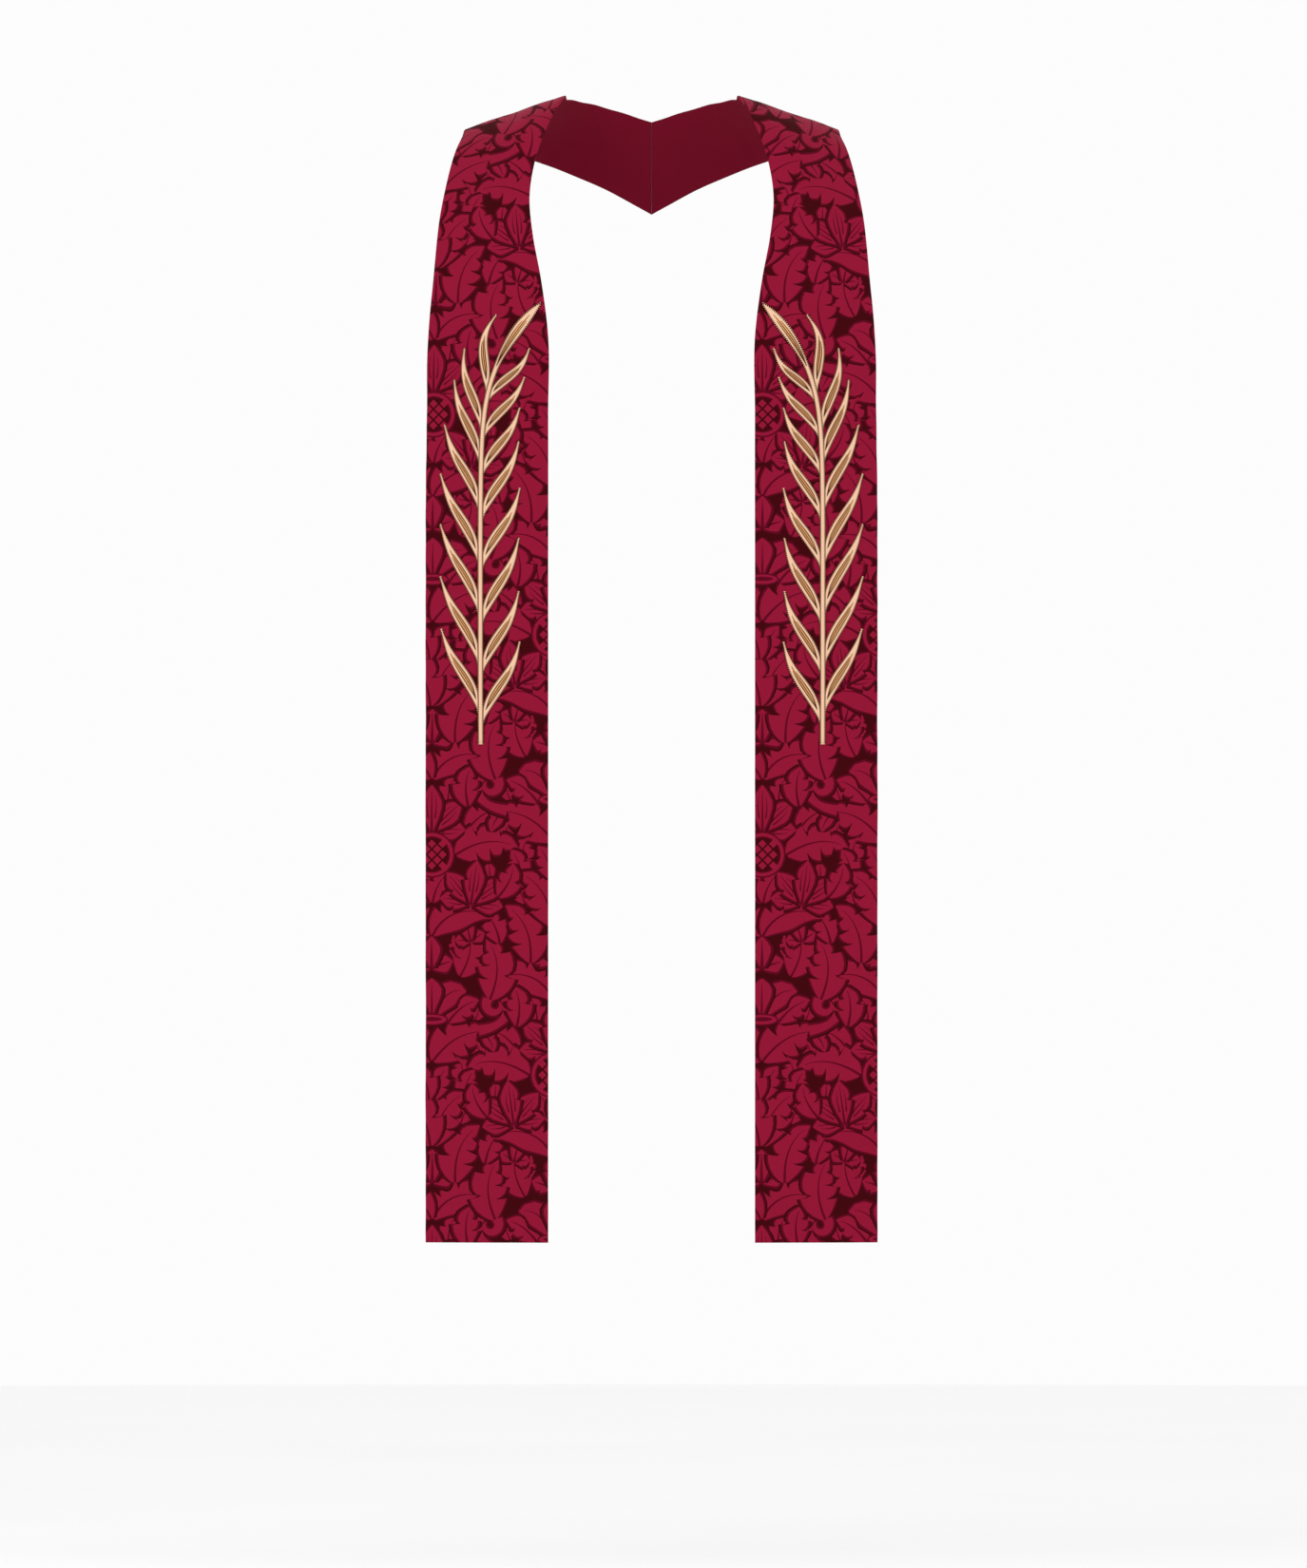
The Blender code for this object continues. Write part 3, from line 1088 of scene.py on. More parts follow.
class Leaf(NamedTuple):
    """A leaf of the branch in millimetres.

    side is 1 towards the inner edge and -1 towards the outer one. bow is how far the leaf's
    middle stands off a straight line, away from the stem.
    """

    side: int
    root_height: float
    tip_height: float
    tip_across: float
    half_width: float
    bow: float


INNER, OUTER = 1, -1
LEAVES = (
    Leaf(INNER, 21, 108, 41, 4.95, 1.5),
    Leaf(INNER, 73, 160, 40, 4.95, 1.5),
    Leaf(INNER, 125, 215, 40, 4.95, 1.5),
    Leaf(INNER, 182, 266, 41, 4.95, 1.5),
    Leaf(INNER, 233, 314, 40, 4.85, 1.5),
    Leaf(INNER, 279, 348.5, 41, 4.7, 1.5),
    Leaf(INNER, 318, 380.5, 45.5, 4.45, 1.5),
    Leaf(INNER, 356, 410.5, 50.5, 4.2, 3.0),
    Leaf(OUTER, 31, 121, -41.5, 5.0, -0.8),
    Leaf(OUTER, 81, 175, -42.5, 5.0, -0.8),
    Leaf(OUTER, 134, 230, -42.5, 5.0, -0.8),
    Leaf(OUTER, 186, 283, -42.5, 4.95, -0.5),
    Leaf(OUTER, 241, 334, -38.5, 4.7, 0.0),
    Leaf(OUTER, 289, 380, -28.5, 4.45, 1.0),
    Leaf(OUTER, 325, 412, -18, 4.4, 4.0),
    Leaf(OUTER, 364, 446, 16.5, 4.45, 10.0),
)


def loft(rings: np.ndarray) -> bmesh.types.BMesh:
    """A closed skin through rings of points.

    Args:
        rings: Points by ring and by place round the ring. The first and the last ring may be
            drawn together to a point, which closes the end.

    Returns:
        The skin, with its faces outwards and a map in metres named grain.
    """
    rows, columns = rings.shape[:2]
    skin = bmesh.new()
    grain = skin.loops.layers.uv.new("grain")
    bmesh.ops.create_grid(skin, x_segments=rows - 1, y_segments=columns, size=1.0, calc_uvs=True)
    length = float(np.linalg.norm(np.diff(rings.mean(axis=1), axis=0), axis=1).sum())
    girth = float(np.linalg.norm(np.diff(rings[rows // 2], axis=0), axis=1).sum())
    for face in skin.faces:
        for corner in face.loops:
            corner[grain].uv = (corner[grain].uv.x * length, corner[grain].uv.y * girth)
    for vertex in skin.verts:
        row = round((vertex.co.x + 1) / 2 * (rows - 1))
        column = round((vertex.co.y + 1) / 2 * columns) % columns
        vertex.co = rings[row, column]
    bmesh.ops.remove_doubles(skin, verts=skin.verts, dist=0.001 * MM)
    bmesh.ops.recalc_face_normals(skin, faces=skin.faces)
    return skin


class Thread(Enum):
    """The threads of the palm branch. Each value is the number of its material on the piece."""

    SATIN = 0
    INLAY = 1
    VEIN = 2
    GOLD_STITCH = 3
    # Near-black thread, partly real and partly painted shade: the edging under each strip paints the
    # shadow round its edges, and the beads between the gold stitches paint the shade in their gaps.
    BROWN_STITCH = 4


# Gives places or widths from parts of the way along a strip.
Along = Callable[[np.ndarray], np.ndarray]


class Seam(NamedTuple):
    """Stitches along an edge: their flat places, the directions along and away, their height."""

    places: np.ndarray
    along: np.ndarray
    away: np.ndarray
    lift: np.ndarray


@dataclass
class PalmBranch:
    """A branch of padded gold satin, whipped down along its edges, with embroidered veins."""

    surface: StoleSurface
    cloth_wall: float = CLOTH_WALL
    panel_width: float = PANEL_WIDTH
    foot: float = 0.516
    stem_from_inner: float = 0.0695
    stem_height: float = 0.454
    bend_start: float = 0.2
    bend_power: int = 5
    lean: float = 0.065
    stem_half_width: float = 1.9 * MM
    top_blade_start: float = 0.388
    top_blade_half_width: float = 5.0 * MM
    top_blade_fullest: float = 0.62
    top_blade_point: float = 0.9
    leaf_swing: float = 2.4 * MM
    leaf_fullest: float = 0.42
    leaf_point: float = 1.3
    leaf_root_half_width: float = 1.8 * MM
    leaf_tip_allowance: float = 1.5 * MM
    tip_half_width: float = 0.4 * MM
    satin_base: float = 0.35 * MM
    underside_sink: float = 0.3 * MM
    # The edging is a near-black rim past the satin's edges: dark thread, and painted shadow round them.
    edging_reach: float = 0.95 * MM
    edging_base: float = 0.12 * MM
    stem_edging_base: float = 0.85 * MM
    edging_crown: float = 0.1 * MM
    leaf_crown: float = 1.0 * MM
    stem_crown: float = 1.5 * MM
    crown_power: float = 0.7
    leaf_stations: int = 22
    stem_stations: int = 80
    station_gather: float = 1.5
    ring_points: int = 14
    satin_share: float = 0.97
    leaf_inlay: tuple[float, float] = (0.17, 0.72)
    top_inlay: tuple[float, float] = (0.862, 0.976)
    inlay_reach: float = 0.56
    inlay_stations: int = 20
    inlay_ends: tuple[float, float] = (0.02, 0.98)
    inlay_power: float = 0.6
    inlay_base: float = 0.82
    inlay_crown: float = 0.25
    vein_half_width: float = 0.56 * MM
    vein_spread: tuple[float, ...] = (-0.42, 0.02, 0.41)
    vein_reach: tuple[float, ...] = (0.86, 1.0, 0.9)
    vein_opening: float = 0.35
    vein_head_start: float = 0.2
    vein_closing: float = 0.6
    vein_closes_from: float = 0.55
    vein_stations: int = 18
    vein_ends: tuple[float, float] = (0.06, 0.97)
    vein_power: float = 0.4
    vein_lift: float = 0.04 * MM
    vein_crown: float = 0.9
    stitch_pitch: float = 1.15 * MM
    stitch_half_width: float = 0.54 * MM
    stitch_flatness: float = 0.9
    stem_stitch_lift: float = 0.9 * MM
    gold_stitch: tuple[float, float] = (0.95 * MM, 0.1 * MM)
    # The dark stitches between the gold ones are thread and also paint the shade in their gaps.
    brown_stitch: tuple[float, float] = (1.0 * MM, 0.7 * MM)
    seam_stations: int = 120
    stem_clearance: float = 1.2
    nudge: float = 0.1 * MM

    def on_panel(self, flat: np.ndarray, lift: np.ndarray) -> np.ndarray:
        """Points over the front of the half.

        Args:
            flat: How far towards the inner edge and how far above the foot, as (..., 2).
            lift: How far each point stands off the cloth.

        Returns:
            Points as (..., 3).
        """
        across = (self.stem_from_inner - flat[..., 0]) / self.panel_width
        out = np.broadcast_to(lift, across.shape) + self.cloth_wall / 2
        points = self.surface.points(self.foot + flat[..., 1].ravel(), across.ravel(), out.ravel())
        return points.reshape(*across.shape, 3)

    @staticmethod
    def blade_share(parts: np.ndarray, fullest: float, point: float) -> np.ndarray:
        """How wide a blade is along its length.

        Args:
            parts: How much of the way from root to tip.
            fullest: The part at which the blade is widest.
            point: How sharply it runs out. 1 is a plain arch.

        Returns:
            Shares of the full width.
        """
        inside = np.clip(parts, 0, 1)
        return np.sin(math.pi * inside ** math.log(0.5, fullest)).clip(0) ** point

    def stem_across(self, height: np.ndarray) -> np.ndarray:
        """How far the stem has leant towards the inner edge."""
        bend = np.clip((height - self.bend_start) / (self.stem_height - self.bend_start), 0, None)
        return self.lean * bend**self.bend_power

    def stem_middle(self, parts: np.ndarray) -> np.ndarray:
        """Flat places along the middle of the stem."""
        height = parts * self.stem_height
        return np.column_stack([self.stem_across(height), height])

    def stem_widths(self, parts: np.ndarray) -> np.ndarray:
        """Works out half the stem's width, which swells into the blade at the top.

        Args:
            parts: How much of the way from foot to tip.

        Returns:
            Half the width at each part.
        """
        rise = self.stem_height - self.top_blade_start
        blade = np.clip((parts * self.stem_height - self.top_blade_start) / rise, 0, 1)
        neck = self.stem_half_width * (1 - blade)
        share = self.blade_share(blade, self.top_blade_fullest, self.top_blade_point)
        return np.maximum(neck + (self.top_blade_half_width - neck) * share, self.tip_half_width)

    def leaf_middle(self, leaf: Leaf, parts: np.ndarray) -> np.ndarray:
        """Follows the middle of a leaf, which bows and then swings up at the tip.

        Args:
            leaf: The leaf.
            parts: How much of the way from root to tip.

        Returns:
            One flat place a row.
        """
        root = leaf.root_height * MM
        start = np.array([float(self.stem_across(np.array(root))), root])
        run = np.array([leaf.tip_across, leaf.tip_height]) * MM - start
        length = np.linalg.norm(run)
        aside = np.array([run[1], -run[0]]) / length * leaf.side
        run *= 1 - self.leaf_tip_allowance / length
        bow = leaf.bow * MM * 4 * parts * (1 - parts)
        swing = bow - self.leaf_swing * np.sin(math.tau * parts)
        return start + run * parts[:, None] + aside * swing[:, None]

    def leaf_widths(self, leaf: Leaf, parts: np.ndarray) -> np.ndarray:
        """Works out half a leaf's width.

        Args:
            leaf: The leaf.
            parts: How much of the way from root to tip.

        Returns:
            Half the width at each part.
        """
        ends = self.leaf_root_half_width * (1 - parts) + self.tip_half_width * parts
        share = self.blade_share(parts, self.leaf_fullest, self.leaf_point)
        return np.maximum(leaf.half_width * MM * share, ends)

    @staticmethod
    def aside(middle: np.ndarray) -> np.ndarray:
        """Finds the directions that point to the right of a line.

        Args:
            middle: Flat places along the line.

        Returns:
            One flat direction a row.
        """
        ahead = np.gradient(middle, axis=0)
        ahead /= np.linalg.norm(ahead, axis=1)[:, None]
        return np.column_stack([ahead[:, 1], -ahead[:, 0]])

    def _padded(
        self, middle: np.ndarray, widths: np.ndarray, base: Any, crown: Any
    ) -> bmesh.types.BMesh:
        """Makes a crowned closed strip.

        Args:
            middle: Flat places along its middle.
            widths: Half its width at each of them.
            base: How far its edges stand off the cloth.
            crown: How far its middle stands above its edges.

        Returns:
            The strip's skin.
        """
        angle = np.linspace(0, math.tau, self.ring_points, endpoint=False)
        over = widths[:, None] * np.cos(angle)
        flat = middle[:, None, :] + self.aside(middle)[:, None, :] * over[..., None]
        rise = np.where(np.sin(angle) > 0, np.sin(angle) * np.reshape(crown, (-1, 1)), 0)
        sink = self.underside_sink * np.minimum(np.sin(angle), 0)
        rings = self.on_panel(flat, np.reshape(base, (-1, 1)) + rise + sink)
        ends = [np.repeat(rings[i].mean(axis=0)[None, None], self.ring_points, axis=1) for i in (0, -1)]
        return loft(np.concatenate([ends[0], rings, ends[1]]))

    def _edging(self, middle: np.ndarray, widths: np.ndarray, base: float) -> bmesh.types.BMesh:
        """The dark thread that lies under the edges of a strip, which also paints the shadow round them.
        """
        return self._padded(middle, widths + self.edging_reach, base, self.edging_crown)

    def _crown(self, height: float, fullest: float, widths: np.ndarray) -> np.ndarray:
        """The crown of a strip, which is lower where the strip is narrow."""
        return height * np.clip(widths / fullest, 0, 1) ** self.crown_power

    def _inlay(
        self, middle: Along, half: Along, rise: Along, reach: tuple[float, float]
    ) -> bmesh.types.BMesh:
        """Makes the darker lens on a leaf.

        Args:
            middle: Gives flat places along the leaf's middle.
            half: Gives half the leaf's width.
            rise: Gives the leaf's crown from half its width.
            reach: The parts of the leaf between which the lens runs.

        Returns:
            The lens's skin.
        """
        parts = np.linspace(*reach, self.inlay_stations)
        widths = half(parts)
        crown = rise(widths)
        swell = np.sin(math.pi * np.linspace(*self.inlay_ends, len(parts))) ** self.inlay_power
        lens = self.inlay_reach * widths * swell
        base = self.satin_base + self.inlay_base * crown
        return self._padded(middle(parts), lens, base, self.inlay_crown * crown)

    def _veins(
        self, middle: Along, half: Along, rise: Along, reach: tuple[float, float]
    ) -> Iterator[bmesh.types.BMesh]:
        """Makes the embroidered lines on a leaf's lens.

        Args:
            middle: Gives flat places along the leaf's middle.
            half: Gives half the leaf's width.
            rise: Gives the leaf's crown from half its width.
            reach: The parts of the leaf between which the lens runs.

        Yields:
            Each line's skin.
        """
        begin, end = reach
        for spread, share in zip(self.vein_spread, self.vein_reach):
            run = np.linspace(0, share, self.vein_stations)
            parts = begin + (end - begin) * run
            widths = half(parts)
            # The lines open out from the leaf's root and close in a little towards its tip.
            opened = smoothstep(run / self.vein_opening + self.vein_head_start)
            closed = self.vein_closing * smoothstep(run - self.vein_closes_from)
            offset = spread * opened * (1 - closed)
            line = middle(parts)
            line = line + self.aside(line) * (offset * widths)[:, None]
            crown = rise(widths) * np.sqrt(1 - offset * offset)
            swell = np.sin(math.pi * np.linspace(*self.vein_ends, len(parts))) ** self.vein_power
            thread = self.vein_half_width * swell
            base = self.satin_base + crown + self.vein_lift
            yield self._padded(line, thread, base, thread * self.vein_crown)

    def _seam(self, middle: np.ndarray, widths: np.ndarray, side: int, lift: float) -> Seam:
        """Spaces stitches along one edge of a strip.

        Args:
            middle: Flat places along the strip's middle.
            widths: Half its width at each of them.
            side: 1 for its right edge and -1 for its left.
            lift: How far the stitches stand off the cloth.

        Returns:
            The stitches.
        """
        edge = middle + self.aside(middle) * (widths * side)[:, None]
        steps = np.linalg.norm(np.diff(edge, axis=0), axis=1)
        run = np.concatenate([[0.0], np.cumsum(steps)])
        at = np.arange(self.stitch_pitch / 2, run[-1], self.stitch_pitch)
        places = np.column_stack([np.interp(at, run, edge[:, axis]) for axis in (0, 1)])
        along = np.gradient(places, axis=0)
        along /= np.linalg.norm(along, axis=1)[:, None]
        away = np.column_stack([along[:, 1], -along[:, 0]]) * side
        return Seam(places, along, away, np.full(len(places), lift))

    def _seams(self) -> Iterator[Seam]:
        """Spaces the stitches along every edge, without those that would lie under the stem.

        Yields:
            The stitches of each edge.
        """
        parts = np.linspace(0, 1, self.seam_stations)
        stem, stem_widths = self.stem_middle(parts), self.stem_widths(parts)
        for side in (-1, 1):
            yield self._seam(stem, stem_widths, side, self.stem_stitch_lift)
            for leaf in LEAVES:
                middle, widths = self.leaf_middle(leaf, parts), self.leaf_widths(leaf, parts)
                seam = self._seam(middle, widths, side, self.satin_base)
                off_stem = np.abs(seam.places[:, 0] - self.stem_across(seam.places[:, 1]))
                clear = off_stem > self.stem_half_width * self.stem_clearance
                yield Seam(*(field[clear] for field in seam))

    def _stitches(self, odd: int, reach: float, shift: float) -> bmesh.types.BMesh:
        """Makes every second stitch of all the seams.

        Args:
            odd: 0 for the gold stitches and 1 for the near-black ones between them, which also paint the
                shade in the gaps.
            reach: Half a stitch's length, across the edge.
            shift: How far outside the edge its middle is.

        Returns:
            All those stitches, each a small closed bead of thread.
        """
        bead = bmesh.new()
        bmesh.ops.create_uvsphere(bead, u_segments=6, v_segments=3, radius=1.0)
        bmesh.ops.triangulate(bead, faces=bead.faces)
        shape = np.array([v.co[:] for v in bead.verts])
        corners = np.array([[v.index for v in f.verts] for f in bead.faces])
        bead.free()
        seams = list(self._seams())
        places, along, away, lift = (
            np.concatenate([seam[field][odd::2] for seam in seams]) for field in range(4)
        )
        size = np.array([self.stitch_half_width, reach, self.stitch_half_width * self.stitch_flatness])
        middles = places + away * shift
        centre = self.on_panel(middles, lift)
        x = self.on_panel(middles + along * self.nudge, lift) - centre
        y = self.on_panel(middles + away * self.nudge, lift) - centre
        x /= np.linalg.norm(x, axis=1)[:, None]
        y /= np.linalg.norm(y, axis=1)[:, None]
        frames = np.stack([x, y, np.cross(x, y)], axis=1)
        # The bead is copied to all its places at once, because there are thousands of them.
        points = centre[:, None] + np.einsum("pk,nkc->npc", shape * size, frames)
        starts = np.arange(len(centre))[:, None, None] * len(shape)
        faces = (corners + starts).reshape(-1, 3)
        mesh = bpy.data.meshes.new("stitches")
        mesh.from_pydata(points.reshape(-1, 3).tolist(), [], faces.tolist())
        beads = bmesh.new()
        beads.loops.layers.uv.new("grain")
        beads.from_mesh(mesh)
        bpy.data.meshes.remove(mesh)
        return beads

    def _strip(
        self,
        middle: Along,
        half: Along,
        rise: Along,
        parts: np.ndarray,
        edging_base: float,
        reach: tuple[float, float],
    ) -> Iterator[tuple[Thread, bmesh.types.BMesh]]:
        """Makes a leaf or the stem: the satin, the dark edging under it (thread, and painted shadow
        round the satin's edges) and its embroidery.

        Args:
            middle: Gives flat places along its middle.
            half: Gives half its width.
            rise: Gives its crown from half its width.
            parts: The parts of the way along it at which the satin has rings.
            edging_base: How far the edging stands off the cloth.
            reach: The parts between which the embroidery runs.

        Yields:
            Each skin with its thread.
        """
        widths = half(parts) * self.satin_share
        yield Thread.SATIN, self._padded(middle(parts), widths, self.satin_base, rise(widths))
        # The near-black edging is dark thread and painted shadow round the satin's edges.
        yield Thread.BROWN_STITCH, self._edging(middle(parts), widths, edging_base)
        yield Thread.INLAY, self._inlay(middle, half, rise, reach)
        for vein in self._veins(middle, half, rise, reach):
            yield Thread.VEIN, vein

    def _parts(self) -> Iterator[tuple[Thread, bmesh.types.BMesh]]:
        """Makes everything that the branch is sewn from.

        Yields:
            Each skin with its thread.
        """
        parts = np.linspace(0, 1, self.leaf_stations)
        for leaf in LEAVES:
            middle, half = partial(self.leaf_middle, leaf), partial(self.leaf_widths, leaf)
            rise = partial(self._crown, self.leaf_crown, leaf.half_width * MM)
            yield from self._strip(middle, half, rise, parts, self.edging_base, self.leaf_inlay)
        parts = 1 - (1 - np.linspace(0, 1, self.stem_stations)) ** self.station_gather
        middle, half = self.stem_middle, self.stem_widths
        rise = partial(self._crown, self.stem_crown, self.stem_half_width)
        yield from self._strip(middle, half, rise, parts, self.stem_edging_base, self.top_inlay)
        yield Thread.GOLD_STITCH, self._stitches(0, *self.gold_stitch)
        # The dark beads between the gold stitches are thread and painted shade in the gaps.
        yield Thread.BROWN_STITCH, self._stitches(1, *self.brown_stitch)

    def build(self) -> bpy.types.Object:
        """Makes the branch's mesh.

        Returns:
            The piece, whose faces carry the number of their thread.
        """
        whole = bmesh.new()
        whole.loops.layers.uv.new("grain")
        for thread, part in self._parts():
            for face in part.faces:
                face.material_index = thread.value
                face.smooth = True
            mesh = bpy.data.meshes.new("part")
            part.to_mesh(mesh)
            part.free()
            whole.from_mesh(mesh)
            bpy.data.meshes.remove(mesh)
        if self.surface.side is Side.RIGHT:
            bmesh.ops.recalc_face_normals(whole, faces=whole.faces)
        mesh = bpy.data.meshes.new(f"palm_{self.surface.side.word}")
        whole.to_mesh(mesh)
        whole.free()
        piece = bpy.data.objects.new(mesh.name, mesh)
        bpy.context.scene.collection.objects.link(piece)
        return piece

    def dress(self, piece: bpy.types.Object, finishes: dict[Thread, SatinFinish]) -> None:
        """Gives the branch its threads, hangs it on the root body and hides the solid that it stands
        for.

        Args:
            piece: The branch.
            finishes: The finish of each thread.
        """
        for thread in Thread:
            piece.data.materials.append(finishes[thread].material())
        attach(piece, "root")
        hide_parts(f"palm_applique_{self.surface.side.word}")


# Finishes.


class Signal:
    """A value or colour in a shader, which Python's operators work on."""

    def __init__(self, recipe: Recipe, socket: bpy.types.NodeSocket) -> None:
        """Keeps the socket and the recipe that it belongs to."""
        self.recipe = recipe
        self.socket = socket

    def maths(self, operation: str, *others: Any) -> Signal:
        """A Math node on this value and others."""
        values = dict(enumerate([self, *others]))
        return self.recipe.node("ShaderNodeMath", {"operation": operation}, values)

    def __add__(self, other: Any) -> Signal:
        """The sum."""
        return self.maths("ADD", other)

    __radd__ = __add__

    def __mul__(self, other: Any) -> Signal:
        """The product."""
        return self.maths("MULTIPLY", other)

    __rmul__ = __mul__

    def __sub__(self, other: Any) -> Signal:
        """The difference."""
        return self.maths("SUBTRACT", other)

    def __rsub__(self, other: Any) -> Signal:
        """The difference from a number."""
        return self.recipe.node("ShaderNodeMath", {"operation": "SUBTRACT"}, {0: other, 1: self})

    def wave(self) -> Signal:
        """The sine of this angle."""
        return self.maths("SINE")


class Recipe:
    """One material's shader."""

    def __init__(self, name: str) -> None:
        """Starts an empty material.

        Args:
            name: The material's name.
        """
        self.material = bpy.data.materials.new(name)
        self.material.use_nodes = True
        self.tree = self.material.node_tree
        self.tree.nodes.clear()

    def node(
        self,
        kind: str,
        settings: dict[str, Any] | None = None,
        values: dict[Any, Any] | None = None,
        output: int | str = 0,
    ) -> Signal:
        """Adds a node.

        Args:
            kind: The node's type.
            settings: Its settings, which are set first. A ramp's stops are under "stops".
            values: What its inputs get, a value or a signal, by name or number.
            output: The output that is wanted.

        Returns:
            That output's signal.
        """
        made = self.tree.nodes.new(kind)
        for name, value in (settings or {}).items():
            if name == "stops":
                self._set_stops(made.color_ramp, value)
            else:
                setattr(made, name, value)
        for name, value in (values or {}).items():
            if isinstance(value, Signal):
                self.tree.links.new(value.socket, made.inputs[name])
            else:
                made.inputs[name].default_value = value
        return Signal(self, made.outputs[output])

    @staticmethod
    def _set_stops(ramp: bpy.types.ColorRamp, stops: list[tuple[float, Colour]]) -> None:
        """Gives a ramp its stops, each even up to the next.

        Args:
            ramp: The ramp.
            stops: Their places and colours.
        """
        ramp.interpolation = "CONSTANT"
        while len(ramp.elements) < len(stops):
            ramp.elements.new(1.0)
        for element, (place, colour) in zip(ramp.elements, stops):
            element.position = place
            element.color = colour

    def tinted(self, colour: Signal | Colour, tint: Colour, share: Any) -> Signal:
        """A colour multiplied by a tint, by a share of it."""
        settings = {"data_type": "RGBA", "blend_type": "MULTIPLY"}
        return self.node("ShaderNodeMix", settings, {0: share, 6: colour, 7: tint}, output=2)

    def grain(self) -> tuple[Signal, Signal]:
        """Reads the grain map.

        Returns:
            The two places on it, in metres.
        """
        grain = self.node("ShaderNodeUVMap", {"uv_map": "grain"})
        first = self.node("ShaderNodeSeparateXYZ", None, {0: grain}, output="X")
        second = self.node("ShaderNodeSeparateXYZ", None, {0: grain}, output="Y")
        return first, second

    def clouds(self, scale: float, detail: float = 3.0) -> Signal:
        """Soft random patches over the piece, scale to a metre."""
        place = self.node("ShaderNodeTexCoord", output="Object")
        return self.node("ShaderNodeTexNoise", None, {"Vector": place, "Scale": scale, "Detail": detail})

    def finished(self, values: dict[str, Any]) -> bpy.types.Material:
        """Puts a main shader on the surface.

        Args:
            values: What its sockets get, by name.

        Returns:
            The material.
        """
        shader = self.node("ShaderNodeBsdfPrincipled", None, values)
        out = self.tree.nodes.new("ShaderNodeOutputMaterial")
        self.tree.links.new(shader.socket, out.inputs["Surface"])
        return self.material


@dataclass(frozen=True)
class DamaskFinish:
    """Crimson damask: satin leaves on a darker ribbed ground, from each face's tone."""

    name: str = "crimson_damask"
    ground: Colour = from_screen(62, 9, 14)
    line: Colour = from_screen(92, 9, 31)
    plain: Colour = from_screen(112, 17, 38)
    figure: Colour = from_screen(143, 23, 52)
    shade: Colour = (0.55, 0.5, 0.55, 1.0)
    gloss_tint: Colour = from_screen(240, 60, 100)
    sheen_tint: Colour = from_screen(220, 60, 90)
    gloss: float = 0.07
    sheen: float = 0.03
    sheen_roughness: float = 0.35
    roughness: float = 0.66
    satin_smoothness: float = 0.2
    slub_roughness: float = 0.1
    thread: float = 0.45 * MM
    waver: float = 900.0
    waver_share: float = 0.6
    rib: float = 0.7 * MM
    bump: float = 0.35
    relief: float = 0.12 * MM
    satin_height: float = 1.2
    weave_height: float = 0.4
    slub_height: float = 0.5
    cloud_scale: float = 16.0
    cloud_share: float = 0.14
    slub_scale: float = 260.0
    slub_detail: float = 2.0
    slub_share: float = 0.1
    weave_share: float = 0.12

    def material(self) -> bpy.types.Material:
        """Makes the material, or finds the one made before.

        Returns:
            The material.
        """
        if self.name in bpy.data.materials:
            return bpy.data.materials[self.name]
        recipe = Recipe(self.name)
        tone = recipe.node(
            "ShaderNodeAttribute",
            {"attribute_type": "GEOMETRY", "attribute_name": "tone"},
            output="Fac",
        )
        # Each colour starts half-way between its own tone and the one below it.
        tones = [step.value for step in Tone]
        starts = [0.0, *((low + high) / 2 for low, high in zip(tones, tones[1:]))]
        stops = list(zip(starts, (self.ground, self.line, self.plain, self.figure)))
        colour = recipe.node("ShaderNodeValToRGB", {"stops": stops}, {0: tone}, output="Color")
        u, v = recipe.grain()
        # Satin floats run along the leaves, and ribs run across the ground.
        waver = (v * self.waver).wave() * self.waver_share
        floats = (u * (math.tau / self.thread) + waver).wave()
        ribs = (v * (math.tau / self.rib)).wave()
        weave = floats * tone + ribs * (1 - tone)
        clouds = recipe.clouds(self.cloud_scale)
        slubs = recipe.clouds(self.slub_scale, self.slub_detail)
        worn = self.cloud_share * clouds + self.slub_share * slubs + self.weave_share * weave
        height = tone * self.satin_height + weave * self.weave_height + slubs * self.slub_height
        relief = {"Strength": self.bump, "Distance": self.relief, "Height": height}
        return recipe.finished({
            "Base Color": recipe.tinted(colour, self.shade, worn),
            "Roughness": self.roughness - self.satin_smoothness * tone + self.slub_roughness * slubs,
            "Specular IOR Level": self.gloss,
            "Specular Tint": self.gloss_tint,
            "Sheen Weight": self.sheen,
            "Sheen Roughness": self.sheen_roughness,
            "Sheen Tint": self.sheen_tint,
            "Normal": recipe.node("ShaderNodeBump", None, relief),
        })


